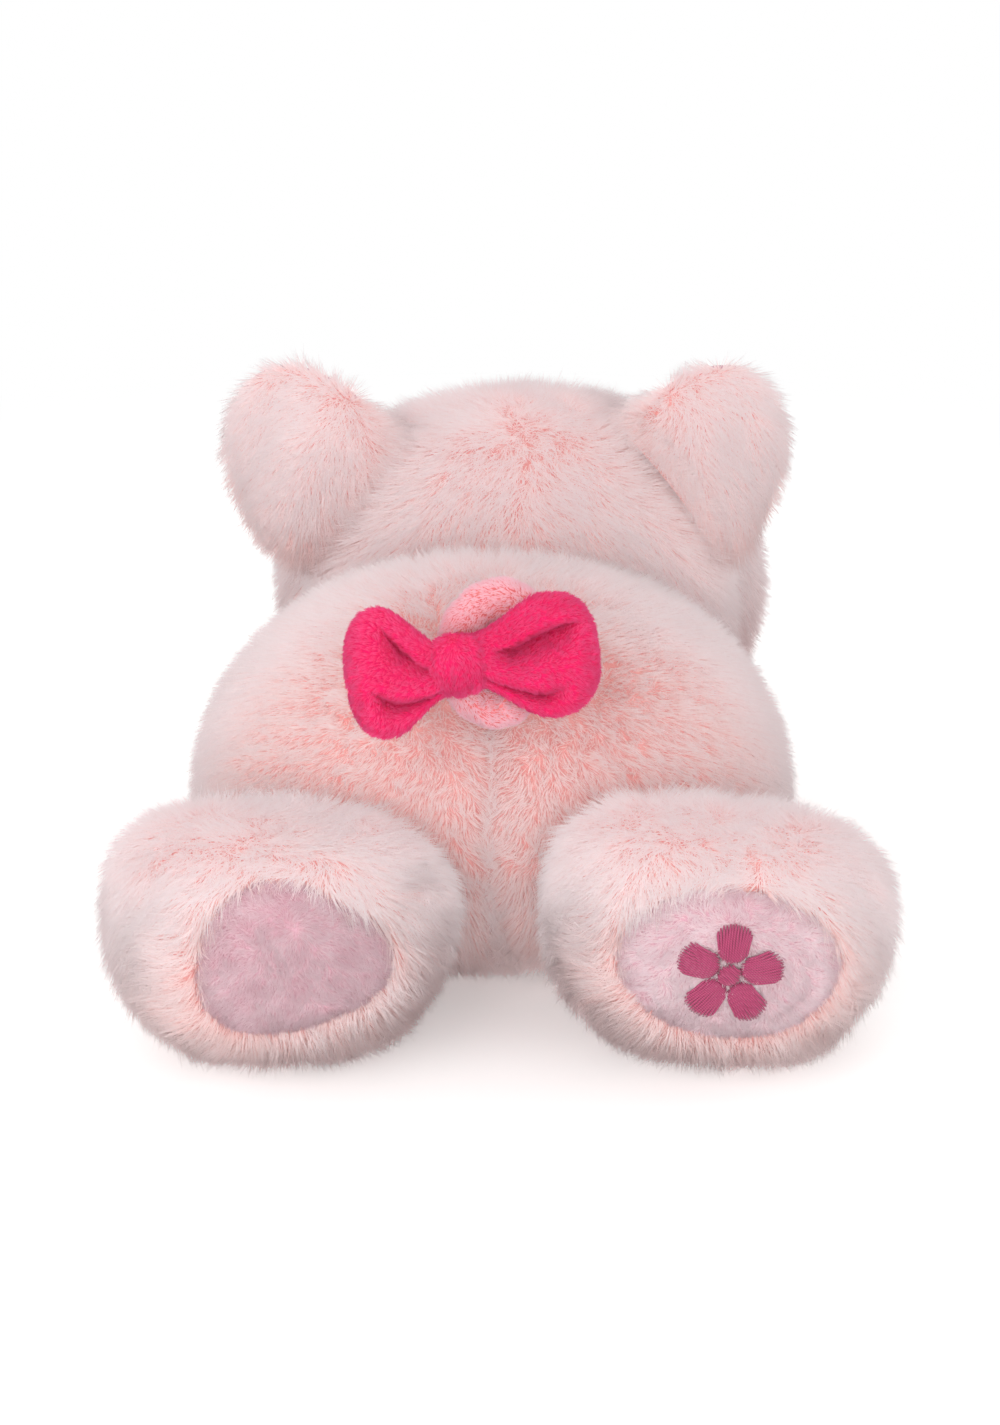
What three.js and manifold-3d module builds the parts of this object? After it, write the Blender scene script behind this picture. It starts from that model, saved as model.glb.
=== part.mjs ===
// A plush pig that lies on its belly: long-pile covers over fibre filling, sewn on at ball-ended roots.
// Millimetres, +Z up, +Y from tail to snout, +X to the pig's right, origin on the floor under the body.

import * as THREE from 'three';
import { mergeVertices } from 'three/addons/utils/BufferGeometryUtils.js';
import Module from 'manifold-3d';

const wasm = await Module();
wasm.setup();

// Cloth and clearances
const GAP = 0.3;
const JOINT_GAP = 0.4;
const LIMB_GAP = 0.9;
const PILE_CLOTH = 8;
const SHORT_CLOTH = 3;
const FLOOR_CUT = 0.5;

// Body
const BODY_HALF_WIDTH = 107;
const BODY_REAR = 89;
const BODY_FRONT = 74;
const BACK_HEIGHT = 90;
const BACK_POWER = 2.1;
const BELLY_DEPTH = 46.5;
const BELLY_POWER = 2.8;

// Head: a ball at the back, with cheeks that swell in front of it
const HEAD_BALL = 83;
const HEAD_FRONT = 70;
const CHEEK_BULGE = 16;
const CHIN_GAP = 3;
const NECK_SINK = 60;
const HEAD_SHIFT = 11;
const HEAD_TURN = 18;
const HEAD_NOD = 8;
const NECK_SEAM_FROM = 44;
const NECK_SEAM_TO = 50;
const NECK_SEAM_CLOTH = 1.7;
const NECK_OPENING = 40;

// Snout, nostrils and eyes
const SNOUT_HALF_WIDTH = 31;
const SNOUT_HALF_HEIGHT = 24;
const SNOUT_REACH = 20;
const SNOUT_ROUND = 6;
const SNOUT_DROP = 12;
const NOSTRIL_HALF_WIDTH = 4.5;
const NOSTRIL_HALF_HEIGHT = 7;
const NOSTRIL_SPREAD = 11;
const STITCH_HEIGHT = 1.2;
const EYE_RADIUS = 7;
const EYE_HEIGHT = 5;
const EYE_SINK = 4;
const EYE_SHANK_RADIUS = 2.2;
const EYE_SHANK_PAST_WASHER = 3;
const WASHER_RADIUS = 8;
const WASHER_THICKNESS = 2;
const EYE_SIDE = 30;
const EYE_RAISE = 24;

// Ears
const EAR_OUTER_WIDTH = 35;
const EAR_INNER_WIDTH = 29;
const EAR_HEIGHT = 49;
const EAR_TIP_INWARD = 12;
const EAR_MIDDLE = -2;
const EAR_ROOT = 24;
const EAR_SHIFT = -6;
const EAR_BACK_DEPTH = 18;
const EAR_LINING_DEPTH = 7;
const EAR_SPLIT = 2;
const EAR_FOLD = 20;
const EAR_SEAT = new THREE.Vector3(0.76, -0.195, 0.62).normalize();
const EAR_RISE = new THREE.Vector3(0.743, 0.229, 0.629).normalize();
const EAR_BACK = new THREE.Vector3(0, -0.94, 0.342).normalize();

// Hind legs
const HIP_BALL = 30;
const HIP_CORE = 7;
const HIP_SIDE = 64;
const HIP_BACK = 46;
const FOOT_OUT = [6, 10];
const FOOT_BEHIND_HIP = 54;
const FOOT_YAW = [14, -2];
const FOOT_ROLL = -6;
const FOOT_HALF_WIDTH = 59;
const FOOT_REAR = 47;
const FOOT_FRONT = 43;
const FOOT_UP = 25;
const FOOT_DOWN = 52.5;
const FOOT_POWER = 2.2;
const FOOT_SECTION_POWER = 2.6;
const SOLE_FROM_MIDDLE = 43;
const SOLE_HALF_WIDTH = [30, 34];
const SOLE_HALF_HEIGHT = [26.5, 28];
const SOLE_RAISE = -4;
const SOLE_OUT = 3.5;
const SOLE_DEPTH = 6;
const SOLE_CROWN = 2;
const SOLE_FLAT_SHARE = 0.62;
const LEG_LIFT = 18;
const LEG_DROP = 10;

// Front legs
const SHOULDER_BALL = 20;
const SHOULDER_CORE = 5;
const SHOULDER_SIDE = 80;
const SHOULDER_FORWARD = 32;
const SHOULDER_RAISE = 9;
const PAW_OUT = 7;
const PAW_AHEAD = 56;
const PAW_HALF_WIDTH = 23;
const PAW_FRONT = 40;
const PAW_REAR = 58;
const PAW_UP = 19;
const PAW_DOWN = 20.5;
const PAW_POWER = 2.3;
const PAW_SOLE_FROM_MIDDLE = 36;
const PAW_SOLE_HALF_WIDTH = 11;
const PAW_SOLE_HALF_HEIGHT = 9;
const PAW_SOLE_OUT = 3;
const PAW_SOLE_RAISE = -3;
const PAW_SOLE_DEPTH = 5;
const PAW_SPLAY = 28;
const PAW_TO_CHEEK = 1.5;

// Tail: a stuffed tube on a rising helix
const TAIL_ELEVATION = 61;
const TAIL_AXIS_TILT = 17;
const TAIL_RADIUS = 6.8;
const TAIL_CLOTH = 2.4;
const COIL_RADIUS = 11;
const COIL_TURNS = 1.58;
const COIL_PITCH = 18.5;
const COIL_RISE = 17;
const COIL_LEAD_IN = 0.4;
const TAIL_TIP_FROM = 0.5;
const TAIL_TIP_DROP = 15;
const BOW_SEAT = 0.81;

// Bow
const BOW_LEAN = 20;
const BOW_TILT = 7;
const BAND_HALF_WIDTH = 9.5;
const BAND_HALF_HEIGHT = 12;
const BAND_HALF_DEPTH = 12;
const BAND_ON_TAIL = 3;
const LOOP_HALF_LENGTH = [18.5, 23];
const LOOP_HALF_HEIGHT = 22;
const LOOP_HALF_DEPTH = 12;
const LOOP_TAPER = 0.42;
const PLEAT_DEPTH = 3.5;
const PLEATS = 2;
const BOW_TWIST = 12;

// Stitched flower on the right sole
const FLOWER_PETALS = 5;
const FLOWER_RADIUS = 17;
const FLOWER_DENT = 4;

// Facets round and along each form
const BODY_FACETS = [20, 12];
const BODY_INNER_FACETS = [12, 8];
const HEAD_FACETS = [20, 12];
const HEAD_INNER_FACETS = [12, 8];
const FOOT_FACETS = [14, 8];
const FOOT_INNER_FACETS = [8, 6];
const PAW_FACETS = [10, 6];
const PAW_INNER_FACETS = [8, 5];
const BALL_FACETS = [12, 8];
const SMALL_BALL_FACETS = [8, 6];
const EAR_FACETS = [12, 8];
const LOOP_FACETS = [14, 10];
const BAND_FACETS = [10, 6];
const DISC_SIDES = 20;
const BUTTON_SIDES = 10;
const SEAM_SIDES = 30;
const TAIL_SIDES = 6;
const TAIL_INNER_SIDES = 4;
const TAIL_STEPS_PER_TURN = 8;
const SWING_STEP = 10;

const X_AXIS = new THREE.Vector3(1, 0, 0);
const Y_AXIS = new THREE.Vector3(0, 1, 0);
const Z_AXIS = new THREE.Vector3(0, 0, 1);
const FULL = 1000;
const radians = THREE.MathUtils.degToRad;

// Cloth colours
const plush = { color: 0xecd3d5, roughness: 0.95, metalness: 0 };
const shortPile = { color: 0xe0c0ca, roughness: 0.9, metalness: 0 };
const salmon = { color: 0xf0a09c, roughness: 0.9, metalness: 0 };
const hotPink = { color: 0xee3a82, roughness: 0.85, metalness: 0 };
const thread = { color: 0xa52d5f, roughness: 0.6, metalness: 0 };
const fibre = { color: 0xf4f2ee, roughness: 1, metalness: 0 };
const blackPlastic = { color: 0x0c0a0a, roughness: 0.15, metalness: 0 };
const whitePlastic = { color: 0xe6e6e2, roughness: 0.5, metalness: 0 };

// Solids from closed geometry, and back

function solidOf(geometry) {
  const bare = geometry.clone();
  bare.deleteAttribute('normal');
  bare.deleteAttribute('uv');
  const merged = mergeVertices(bare, 1e-4);
  const points = merged.attributes.position.array;
  const triangles = [];
  let volume = 0;
  const corner = [new THREE.Vector3(), new THREE.Vector3(), new THREE.Vector3()];
  for (let i = 0; i < merged.index.count; i += 3) {
    const three = [0, 1, 2].map((k) => merged.index.getX(i + k));
    if (new Set(three).size < 3) continue;
    three.forEach((vertex, k) => corner[k].fromArray(points, 3 * vertex));
    volume += corner[0].dot(corner[1].clone().cross(corner[2]));
    triangles.push(three);
  }
  const facing = volume < 0 ? triangles.map(([a, b, c]) => [a, c, b]) : triangles;
  return new wasm.Manifold(new wasm.Mesh({
    numProp: 3,
    vertProperties: new Float32Array(points),
    triVerts: new Uint32Array(facing.flat()),
  }));
}

function geometryOf(solid) {
  const mesh = solid.getMesh();
  const geometry = new THREE.BufferGeometry();
  geometry.setAttribute('position', new THREE.BufferAttribute(new Float32Array(mesh.vertProperties), 3));
  geometry.setIndex(new THREE.BufferAttribute(new Uint32Array(mesh.triVerts), 1));
  geometry.computeVertexNormals();
  return geometry;
}

const pig = new THREE.Group();

function addPiece(name, solid, look) {
  const mesh = new THREE.Mesh(geometryOf(solid), new THREE.MeshStandardMaterial(look));
  mesh.name = name;
  pig.add(mesh);
}

function turned(geometry, pivot, axis, degrees) {
  const matrix = new THREE.Matrix4().makeTranslation(pivot);
  matrix.multiply(new THREE.Matrix4().makeRotationAxis(axis, radians(degrees)));
  matrix.multiply(new THREE.Matrix4().makeTranslation(pivot.clone().negate()));
  return geometry.clone().applyMatrix4(matrix);
}

// What is left of a swinging piece once its neighbour is cut away over the whole swing
function clearOfSwing(solid, neighbour, pivot, axis, from, to) {
  const steps = Math.ceil((to - from) / SWING_STEP);
  let left = solid;
  for (let k = 0; k <= steps; k += 1) {
    const degrees = from + ((to - from) * k) / steps;
    left = left.subtract(solidOf(turned(neighbour, pivot, axis, -degrees)));
  }
  return left;
}

function ball(center, radius, facets = BALL_FACETS) {
  return solidOf(new THREE.SphereGeometry(radius, ...facets).translate(center.x, center.y, center.z));
}

// A ball's socket: its facets stay outside the radius, and lie against the corners of the ball in it
function ballSpace(center, radius, facets = BALL_FACETS) {
  const [columns, rows] = facets;
  const cornerRadius = radius / Math.cos(Math.PI / columns) / Math.cos(Math.PI / rows / 2);
  const geometry = new THREE.SphereGeometry(cornerRadius, columns, rows).rotateY(Math.PI / columns);
  return solidOf(geometry.rotateX(Math.PI / 2).translate(center.x, center.y, center.z));
}

// A cylinder that starts at a point and runs along a direction
function rod(start, direction, radius, length, sides = BUTTON_SIDES) {
  const geometry = new THREE.CylinderGeometry(radius, radius, length, sides).translate(0, length / 2, 0);
  geometry.applyQuaternion(new THREE.Quaternion().setFromUnitVectors(Y_AXIS, direction));
  return solidOf(geometry.translate(start.x, start.y, start.z));
}

// The space past a level along an axis
function beyond(axis, level, frame = new THREE.Matrix4()) {
  const geometry = new THREE.BoxGeometry(FULL, FULL, FULL).translate(0, 0, level + FULL / 2);
  geometry.applyQuaternion(new THREE.Quaternion().setFromUnitVectors(Z_AXIS, axis));
  return solidOf(geometry.applyMatrix4(frame));
}

const floor = beyond(Z_AXIS.clone().negate(), 0);

// Stuffed forms: a sphere's points moved out to a radius that depends on direction

function stuffedForm(center, radiusOf, facets) {
  const geometry = new THREE.SphereGeometry(1, ...facets);
  const position = geometry.attributes.position;
  const direction = new THREE.Vector3();
  for (let i = 0; i < position.count; i += 1) {
    direction.fromBufferAttribute(position, i).normalize();
    const point = center.clone().addScaledVector(direction, radiusOf(direction));
    position.setXYZ(i, point.x, point.y, point.z);
  }
  return geometry;
}

function softRadius(across, along, power) {
  return (Math.abs(across) ** power + Math.abs(along) ** power) ** (-1 / power);
}

const bodyMiddle = new THREE.Vector3(0, 0, BELLY_DEPTH - FLOOR_CUT);

function bodyRadius(direction) {
  const halfLength = direction.y < 0 ? BODY_REAR : BODY_FRONT;
  const across = Math.hypot(direction.x / BODY_HALF_WIDTH, direction.y / halfLength);
  const under = direction.z < 0;
  const halfHeight = under ? BELLY_DEPTH : BACK_HEIGHT;
  return softRadius(across, direction.z / halfHeight, under ? BELLY_POWER : BACK_POWER);
}

function bodyForm(grow, facets = BODY_FACETS) {
  return stuffedForm(bodyMiddle, (direction) => bodyRadius(direction) + grow, facets);
}

const headMiddle = new THREE.Vector3(HEAD_SHIFT, BODY_FRONT + HEAD_BALL - NECK_SINK, HEAD_BALL + CHIN_GAP);

function headRadius(direction) {
  const cheek = THREE.MathUtils.smoothstep(direction.y, -0.1, 0.25);
  const across = direction.x / (HEAD_BALL + CHEEK_BULGE * cheek);
  const along = direction.y / (direction.y < 0 ? HEAD_BALL : HEAD_FRONT);
  return 1 / Math.hypot(across, along, direction.z / HEAD_BALL);
}

function headForm(grow, facets = HEAD_FACETS) {
  return stuffedForm(headMiddle, (direction) => headRadius(direction) + grow, facets);
}

function headPoint(direction, sink) {
  return headMiddle.clone().addScaledVector(direction, headRadius(direction) - sink);
}

// Body, with a socket for each sewn-on root

const sides = { left: -1, right: 1 };
const sideNames = Object.keys(sides);

function hipPoint(side) {
  return new THREE.Vector3(sides[side] * HIP_SIDE, -HIP_BACK, bodyMiddle.z);
}

function shoulderPoint(side) {
  return new THREE.Vector3(sides[side] * SHOULDER_SIDE, SHOULDER_FORWARD, PAW_DOWN + SHOULDER_RAISE);
}

const tailDirection = new THREE.Vector3(
  0,
  -Math.cos(radians(TAIL_ELEVATION)),
  Math.sin(radians(TAIL_ELEVATION)),
);
const tailRoot = bodyMiddle.clone().addScaledVector(tailDirection, bodyRadius(tailDirection));

// The seam ring's facets, not only its corners, stay outside the head's ball
const seamHalfBand = radians(NECK_SEAM_TO - NECK_SEAM_FROM) / 2;
const seamInner = (HEAD_BALL + GAP) / Math.cos(seamHalfBand) / Math.cos(Math.PI / SEAM_SIDES);
const seamOuter = seamInner + NECK_SEAM_CLOTH;

function withSockets(solid) {
  let left = solid.subtract(ballSpace(headMiddle, seamOuter + GAP, HEAD_FACETS)).subtract(floor);
  for (const side of sideNames) {
    left = left.subtract(ballSpace(hipPoint(side), HIP_BALL + JOINT_GAP));
    left = left.subtract(ballSpace(shoulderPoint(side), SHOULDER_BALL + JOINT_GAP));
  }
  return left.subtract(ballSpace(tailRoot, TAIL_RADIUS + JOINT_GAP, SMALL_BALL_FACETS));
}

function addBody() {
  const hollow = solidOf(bodyForm(-PILE_CLOTH, BODY_INNER_FACETS));
  addPiece('body_cover', withSockets(solidOf(bodyForm(0)).subtract(hollow)), plush);
  addPiece('body_filling', withSockets(solidOf(bodyForm(-PILE_CLOTH - GAP, BODY_INNER_FACETS))), fibre);
}

// Head, sewn on through a seam ring that follows the ball

const neckAxis = bodyMiddle.clone().sub(headMiddle).normalize();

function addNeckSeam() {
  const corners = [
    [seamInner, NECK_SEAM_FROM],
    [seamOuter, NECK_SEAM_FROM],
    [seamOuter, NECK_SEAM_TO],
    [seamInner, NECK_SEAM_TO],
    [seamInner, NECK_SEAM_FROM],
  ];
  const profile = corners.map(([radius, angle]) => new THREE.Vector2(
    radius * Math.sin(radians(angle)),
    radius * Math.cos(radians(angle)),
  ));
  const geometry = new THREE.LatheGeometry(profile, SEAM_SIDES);
  geometry.applyQuaternion(new THREE.Quaternion().setFromUnitVectors(Y_AXIS, neckAxis));
  geometry.translate(headMiddle.x, headMiddle.y, headMiddle.z);
  addPiece('neck_seam', solidOf(geometry), plush);
}

function eyeDirection(side) {
  const across = sides[side] * Math.sin(radians(EYE_SIDE));
  const ahead = Math.cos(radians(EYE_SIDE));
  return new THREE.Vector3(across, ahead, Math.tan(radians(EYE_RAISE))).normalize();
}

function addHead() {
  const neckHole = rod(headMiddle, neckAxis, NECK_OPENING, HEAD_BALL + GAP, DISC_SIDES);
  const neckPlug = rod(headMiddle, neckAxis, NECK_OPENING - GAP, HEAD_BALL + GAP, DISC_SIDES);
  let cover = solidOf(headForm(0)).subtract(solidOf(headForm(-PILE_CLOTH, HEAD_INNER_FACETS)));
  cover = cover.subtract(neckHole);
  let filling = solidOf(headForm(-PILE_CLOTH - GAP, HEAD_INNER_FACETS));
  filling = filling.add(ball(headMiddle, HEAD_BALL - GAP, HEAD_FACETS).intersect(neckPlug));
  for (const side of sideNames) {
    const direction = eyeDirection(side);
    const washerDepth = PILE_CLOTH + GAP + WASHER_THICKNESS + EYE_SHANK_PAST_WASHER + GAP;
    const seatDepth = washerDepth - PILE_CLOTH;
    const washerSeat = rod(headPoint(direction, washerDepth), direction, WASHER_RADIUS + GAP, seatDepth);
    cover = cover.subtract(rod(headPoint(direction, EYE_SINK), direction, EYE_RADIUS + GAP, FULL));
    cover = cover.subtract(rod(headMiddle, direction, EYE_SHANK_RADIUS + GAP, FULL)).subtract(washerSeat);
    filling = filling.subtract(rod(headPoint(direction, washerDepth), direction, WASHER_RADIUS + GAP, FULL));
  }
  addPiece('head_cover', cover, plush);
  addPiece('head_filling', filling, fibre);
}

// A turned piece whose profile lists [radius, height] and whose axis runs along a direction
function turnedPiece(profile, start, direction, segments) {
  const geometry = new THREE.LatheGeometry(profile.map(([r, h]) => new THREE.Vector2(r, h)), segments);
  geometry.applyQuaternion(new THREE.Quaternion().setFromUnitVectors(Y_AXIS, direction));
  return solidOf(geometry.translate(start.x, start.y, start.z));
}

function addEye(side) {
  const direction = eyeDirection(side);
  const toWasher = PILE_CLOTH - EYE_SINK + GAP + GAP;
  const shankLength = toWasher + WASHER_THICKNESS + EYE_SHANK_PAST_WASHER;
  const dome = [1, 2, 3].map((k) => {
    const angle = radians(30 * k);
    return [EYE_RADIUS * Math.cos(angle), EYE_HEIGHT * Math.sin(angle)];
  });
  dome[dome.length - 1][0] = 0;
  const eye = [[0, -shankLength], [EYE_SHANK_RADIUS, -shankLength], [EYE_SHANK_RADIUS, 0], [EYE_RADIUS, 0]];
  const eyeSeat = headPoint(direction, EYE_SINK - GAP);
  addPiece(`eye_${side}`, turnedPiece([...eye, ...dome], eyeSeat, direction, BUTTON_SIDES), blackPlastic);
  const bore = EYE_SHANK_RADIUS + GAP;
  const washer = [
    [bore, 0],
    [WASHER_RADIUS, 0],
    [WASHER_RADIUS, WASHER_THICKNESS],
    [bore, WASHER_THICKNESS],
    [bore, 0],
  ];
  const washerPlace = headPoint(direction, PILE_CLOTH + GAP + WASHER_THICKNESS);
  addPiece(`eye_washer_${side}`, turnedPiece(washer, washerPlace, direction, BUTTON_SIDES), whitePlastic);
}

// Snout: an oval drum on the face, its back cut to the head
const snoutStart = headMiddle.clone().add(new THREE.Vector3(0, HEAD_FRONT / 2, -SNOUT_DROP));
const snoutLength = HEAD_FRONT / 2 + SNOUT_REACH;

function snoutDrum(grow) {
  const length = snoutLength + grow;
  const wide = SNOUT_HALF_WIDTH + grow;
  const round = SNOUT_ROUND;
  const profile = [
    [0, 0],
    [wide, 0],
    [wide, length - round],
    [wide - 0.3 * round, length - 0.3 * round],
    [wide - round, length],
    [0, length],
  ];
  const geometry = new THREE.LatheGeometry(profile.map(([r, h]) => new THREE.Vector2(r, h)), DISC_SIDES);
  geometry.scale(1, 1, (SNOUT_HALF_HEIGHT + grow) / wide);
  return solidOf(geometry.translate(snoutStart.x, snoutStart.y, snoutStart.z));
}

function addSnout() {
  const face = solidOf(headForm(GAP));
  const cover = snoutDrum(0).subtract(snoutDrum(-SHORT_CLOTH)).subtract(face);
  addPiece('snout_cover', cover, salmon);
  addPiece('snout_filling', snoutDrum(-SHORT_CLOTH - GAP).subtract(face), fibre);
  for (const side of sideNames) {
    const geometry = new THREE.CylinderGeometry(1, 1, STITCH_HEIGHT, BUTTON_SIDES);
    geometry.scale(NOSTRIL_HALF_WIDTH, 1, NOSTRIL_HALF_HEIGHT);
    const across = snoutStart.x + sides[side] * NOSTRIL_SPREAD;
    geometry.translate(across, snoutStart.y + snoutLength + GAP + STITCH_HEIGHT / 2, snoutStart.z);
    addPiece(`nostril_${side}`, solidOf(geometry), thread);
  }
}

// Ears: a long-pile back and a short-pile lining, both cut to the head over the whole fold

function mirrored(vector, side) {
  return new THREE.Vector3(sides[side] * vector.x, vector.y, vector.z);
}

function earFrame(side) {
  const rise = mirrored(EAR_RISE, side);
  const back = mirrored(EAR_BACK, side);
  const across = rise.clone().cross(back).normalize();
  const seat = headPoint(mirrored(EAR_SEAT, side), 0);
  seat.x += EAR_SHIFT;
  return { across, seat, matrix: new THREE.Matrix4().makeBasis(across, rise, back).setPosition(seat) };
}

// The tip leans inwards in the ear's own plane
function earRadius(direction, side) {
  const lean = radians(EAR_TIP_INWARD);
  const inward = -sides[side] * direction.x;
  const along = direction.y * Math.cos(lean) + inward * Math.sin(lean);
  const across = inward * Math.cos(lean) - direction.y * Math.sin(lean);
  const halfLength = along < 0 ? EAR_ROOT : EAR_HEIGHT - EAR_MIDDLE;
  const halfWidth = across < 0 ? EAR_OUTER_WIDTH : EAR_INNER_WIDTH;
  const depth = direction.z < 0 ? EAR_LINING_DEPTH : EAR_BACK_DEPTH;
  return 1 / Math.hypot(across / halfWidth, along / halfLength, direction.z / depth);
}

function addEar(side) {
  const { across, seat, matrix } = earFrame(side);
  const middle = new THREE.Vector3(0, EAR_MIDDLE, 0);
  const radiusOf = (direction) => earRadius(direction, side);
  const form = solidOf(stuffedForm(middle, radiusOf, EAR_FACETS).applyMatrix4(matrix));
  const ear = clearOfSwing(form, headForm(JOINT_GAP), seat, across, -EAR_FOLD, EAR_FOLD);
  const front = beyond(Z_AXIS.clone().negate(), EAR_SPLIT - GAP / 2, matrix);
  const rear = beyond(Z_AXIS, -EAR_SPLIT - GAP / 2, matrix);
  addPiece(`ear_${side}_back`, ear.subtract(front), plush);
  addPiece(`ear_${side}_lining`, ear.subtract(rear), shortPile);
}

// Legs: a foot that swells from a ball-ended root, and a sole pad let into its end

function soleDisc(halfWidth, halfHeight, low, high) {
  const geometry = new THREE.CylinderGeometry(1, 1, high - low, DISC_SIDES).translate(0, (low + high) / 2, 0);
  return geometry.scale(halfWidth, 1, halfHeight);
}

function solePad(halfWidth, halfHeight, plane, depth) {
  const profile = [[0, -depth], [1, -depth], [1, 0], [SOLE_FLAT_SHARE, SOLE_CROWN], [0, SOLE_CROWN]];
  const geometry = new THREE.LatheGeometry(profile.map(([r, h]) => new THREE.Vector2(r, h)), DISC_SIDES);
  return geometry.scale(halfWidth, 1, halfHeight).translate(0, plane, 0);
}

// The side of a flat, towards the head, that the head can reach as it turns and nods
function headSide(point, clear) {
  const normal = point.clone().sub(headMiddle).normalize();
  const corners = headForm(0).attributes.position;
  const corner = new THREE.Vector3();
  let reach = 0;
  for (const turn of [-HEAD_TURN, 0, HEAD_TURN]) {
    for (const nod of [-HEAD_NOD, 0, HEAD_NOD]) {
      const pose = new THREE.Euler(radians(nod), 0, radians(turn), 'ZYX');
      for (let i = 0; i < corners.count; i += 1) {
        corner.fromBufferAttribute(corners, i).sub(headMiddle).applyEuler(pose);
        reach = Math.max(reach, corner.dot(normal));
      }
    }
  }
  const frame = new THREE.Matrix4().makeTranslation(headMiddle);
  return beyond(normal.clone().negate(), -reach - clear, frame);
}

// Leg sizes are given in the foot's own frame, where the sole faces +Y
function addLeg(name, leg) {
  const limb = (grow, facets) => {
    const radiusOf = (direction) => leg.radiusOf(direction) + grow;
    let swell = solidOf(stuffedForm(new THREE.Vector3(), radiusOf, facets).applyMatrix4(leg.frame));
    swell = clearOfSwing(swell, bodyForm(LIMB_GAP - grow), leg.root, leg.axis, ...leg.swing);
    swell = swell.subtract(headSide(leg.middle, PAW_TO_CHEEK - grow));
    const root = ball(leg.root, leg.ball + grow).subtract(headSide(leg.root, PAW_TO_CHEEK - grow));
    return swell.add(root);
  };
  const toMiddle = leg.middle.clone().sub(leg.root);
  const core = (radius) => rod(leg.root, toMiddle.clone().normalize(), radius, toMiddle.length());
  const { halfWidth, halfHeight, shift, raise, plane, depth } = leg.sole;
  const hole = soleDisc(halfWidth + GAP, halfHeight + GAP, plane - depth - GAP, plane + depth);
  const past = beyond(Y_AXIS, plane, leg.frame);
  const pastPad = beyond(Y_AXIS, plane - depth - GAP, leg.frame);
  let cover = limb(0, leg.facets).subtract(past).subtract(floor);
  cover = cover.subtract(limb(-PILE_CLOTH, leg.innerFacets)).subtract(core(leg.core));
  cover = cover.subtract(solidOf(hole.translate(shift, 0, raise).applyMatrix4(leg.frame)));
  addPiece(`${name}_cover`, cover, plush);
  const filling = limb(-PILE_CLOTH - GAP, leg.innerFacets).add(core(leg.core - GAP)).subtract(pastPad);
  addPiece(`${name}_filling`, filling, fibre);
  const pad = solePad(halfWidth, halfHeight, plane, depth).translate(shift, 0, raise).applyMatrix4(leg.frame);
  addPiece(`${name}_sole`, solidOf(pad), shortPile);
}

function footRadius(direction) {
  const height = direction.z < 0 ? FOOT_DOWN : FOOT_UP;
  const around = 1 / softRadius(direction.x / FOOT_HALF_WIDTH, direction.z / height, FOOT_SECTION_POWER);
  return softRadius(around, direction.y / (direction.y < 0 ? FOOT_FRONT : FOOT_REAR), FOOT_POWER);
}

function hindFootFrame(side) {
  const hip = hipPoint(side);
  const place = new THREE.Vector3(
    hip.x + sides[side] * FOOT_OUT[sideNames.indexOf(side)],
    hip.y - FOOT_BEHIND_HIP,
    FOOT_DOWN - FLOOR_CUT,
  );
  const yaw = 180 + FOOT_YAW[sideNames.indexOf(side)];
  const roll = new THREE.Matrix4().makeRotationY(radians(FOOT_ROLL));
  return new THREE.Matrix4().makeRotationZ(radians(yaw)).multiply(roll).setPosition(place);
}

function addHindLeg(side) {
  addLeg(`hind_leg_${side}`, {
    radiusOf: footRadius,
    frame: hindFootFrame(side),
    root: hipPoint(side),
    ball: HIP_BALL,
    core: HIP_CORE,
    axis: X_AXIS,
    swing: [-LEG_LIFT, LEG_DROP],
    middle: new THREE.Vector3().setFromMatrixPosition(hindFootFrame(side)),
    facets: FOOT_FACETS,
    innerFacets: FOOT_INNER_FACETS,
    sole: {
      halfWidth: SOLE_HALF_WIDTH[sideNames.indexOf(side)],
      halfHeight: SOLE_HALF_HEIGHT[sideNames.indexOf(side)],
      shift: -sides[side] * SOLE_OUT,
      raise: SOLE_RAISE,
      plane: SOLE_FROM_MIDDLE,
      depth: SOLE_DEPTH,
    },
  });
}

function pawRadius(direction) {
  const around = Math.hypot(direction.x / PAW_HALF_WIDTH, direction.z / (direction.z < 0 ? PAW_DOWN : PAW_UP));
  return softRadius(around, direction.y / (direction.y < 0 ? PAW_REAR : PAW_FRONT), PAW_POWER);
}

function addFrontLeg(side) {
  const shoulder = shoulderPoint(side);
  const place = new THREE.Vector3(
    shoulder.x + sides[side] * PAW_OUT,
    shoulder.y + PAW_AHEAD,
    PAW_DOWN - FLOOR_CUT,
  );
  addLeg(`front_leg_${side}`, {
    radiusOf: pawRadius,
    frame: new THREE.Matrix4().makeTranslation(place),
    root: shoulder,
    ball: SHOULDER_BALL,
    core: SHOULDER_CORE,
    axis: Z_AXIS,
    swing: side === 'left' ? [0, PAW_SPLAY] : [-PAW_SPLAY, 0],
    middle: place,
    facets: PAW_FACETS,
    innerFacets: PAW_INNER_FACETS,
    sole: {
      halfWidth: PAW_SOLE_HALF_WIDTH,
      halfHeight: PAW_SOLE_HALF_HEIGHT,
      shift: sides[side] * PAW_SOLE_OUT,
      raise: PAW_SOLE_RAISE,
      plane: PAW_SOLE_FROM_MIDDLE,
      depth: PAW_SOLE_DEPTH,
    },
  });
}

// Tail: the helix leaves the rump on its axis and swings out to the coil's radius

const tailOut = new THREE.Vector3(0, -Math.cos(radians(TAIL_AXIS_TILT)), Math.sin(radians(TAIL_AXIS_TILT)));
const tailUp = new THREE.Vector3(0, Math.sin(radians(TAIL_AXIS_TILT)), Math.cos(radians(TAIL_AXIS_TILT)));

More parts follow.
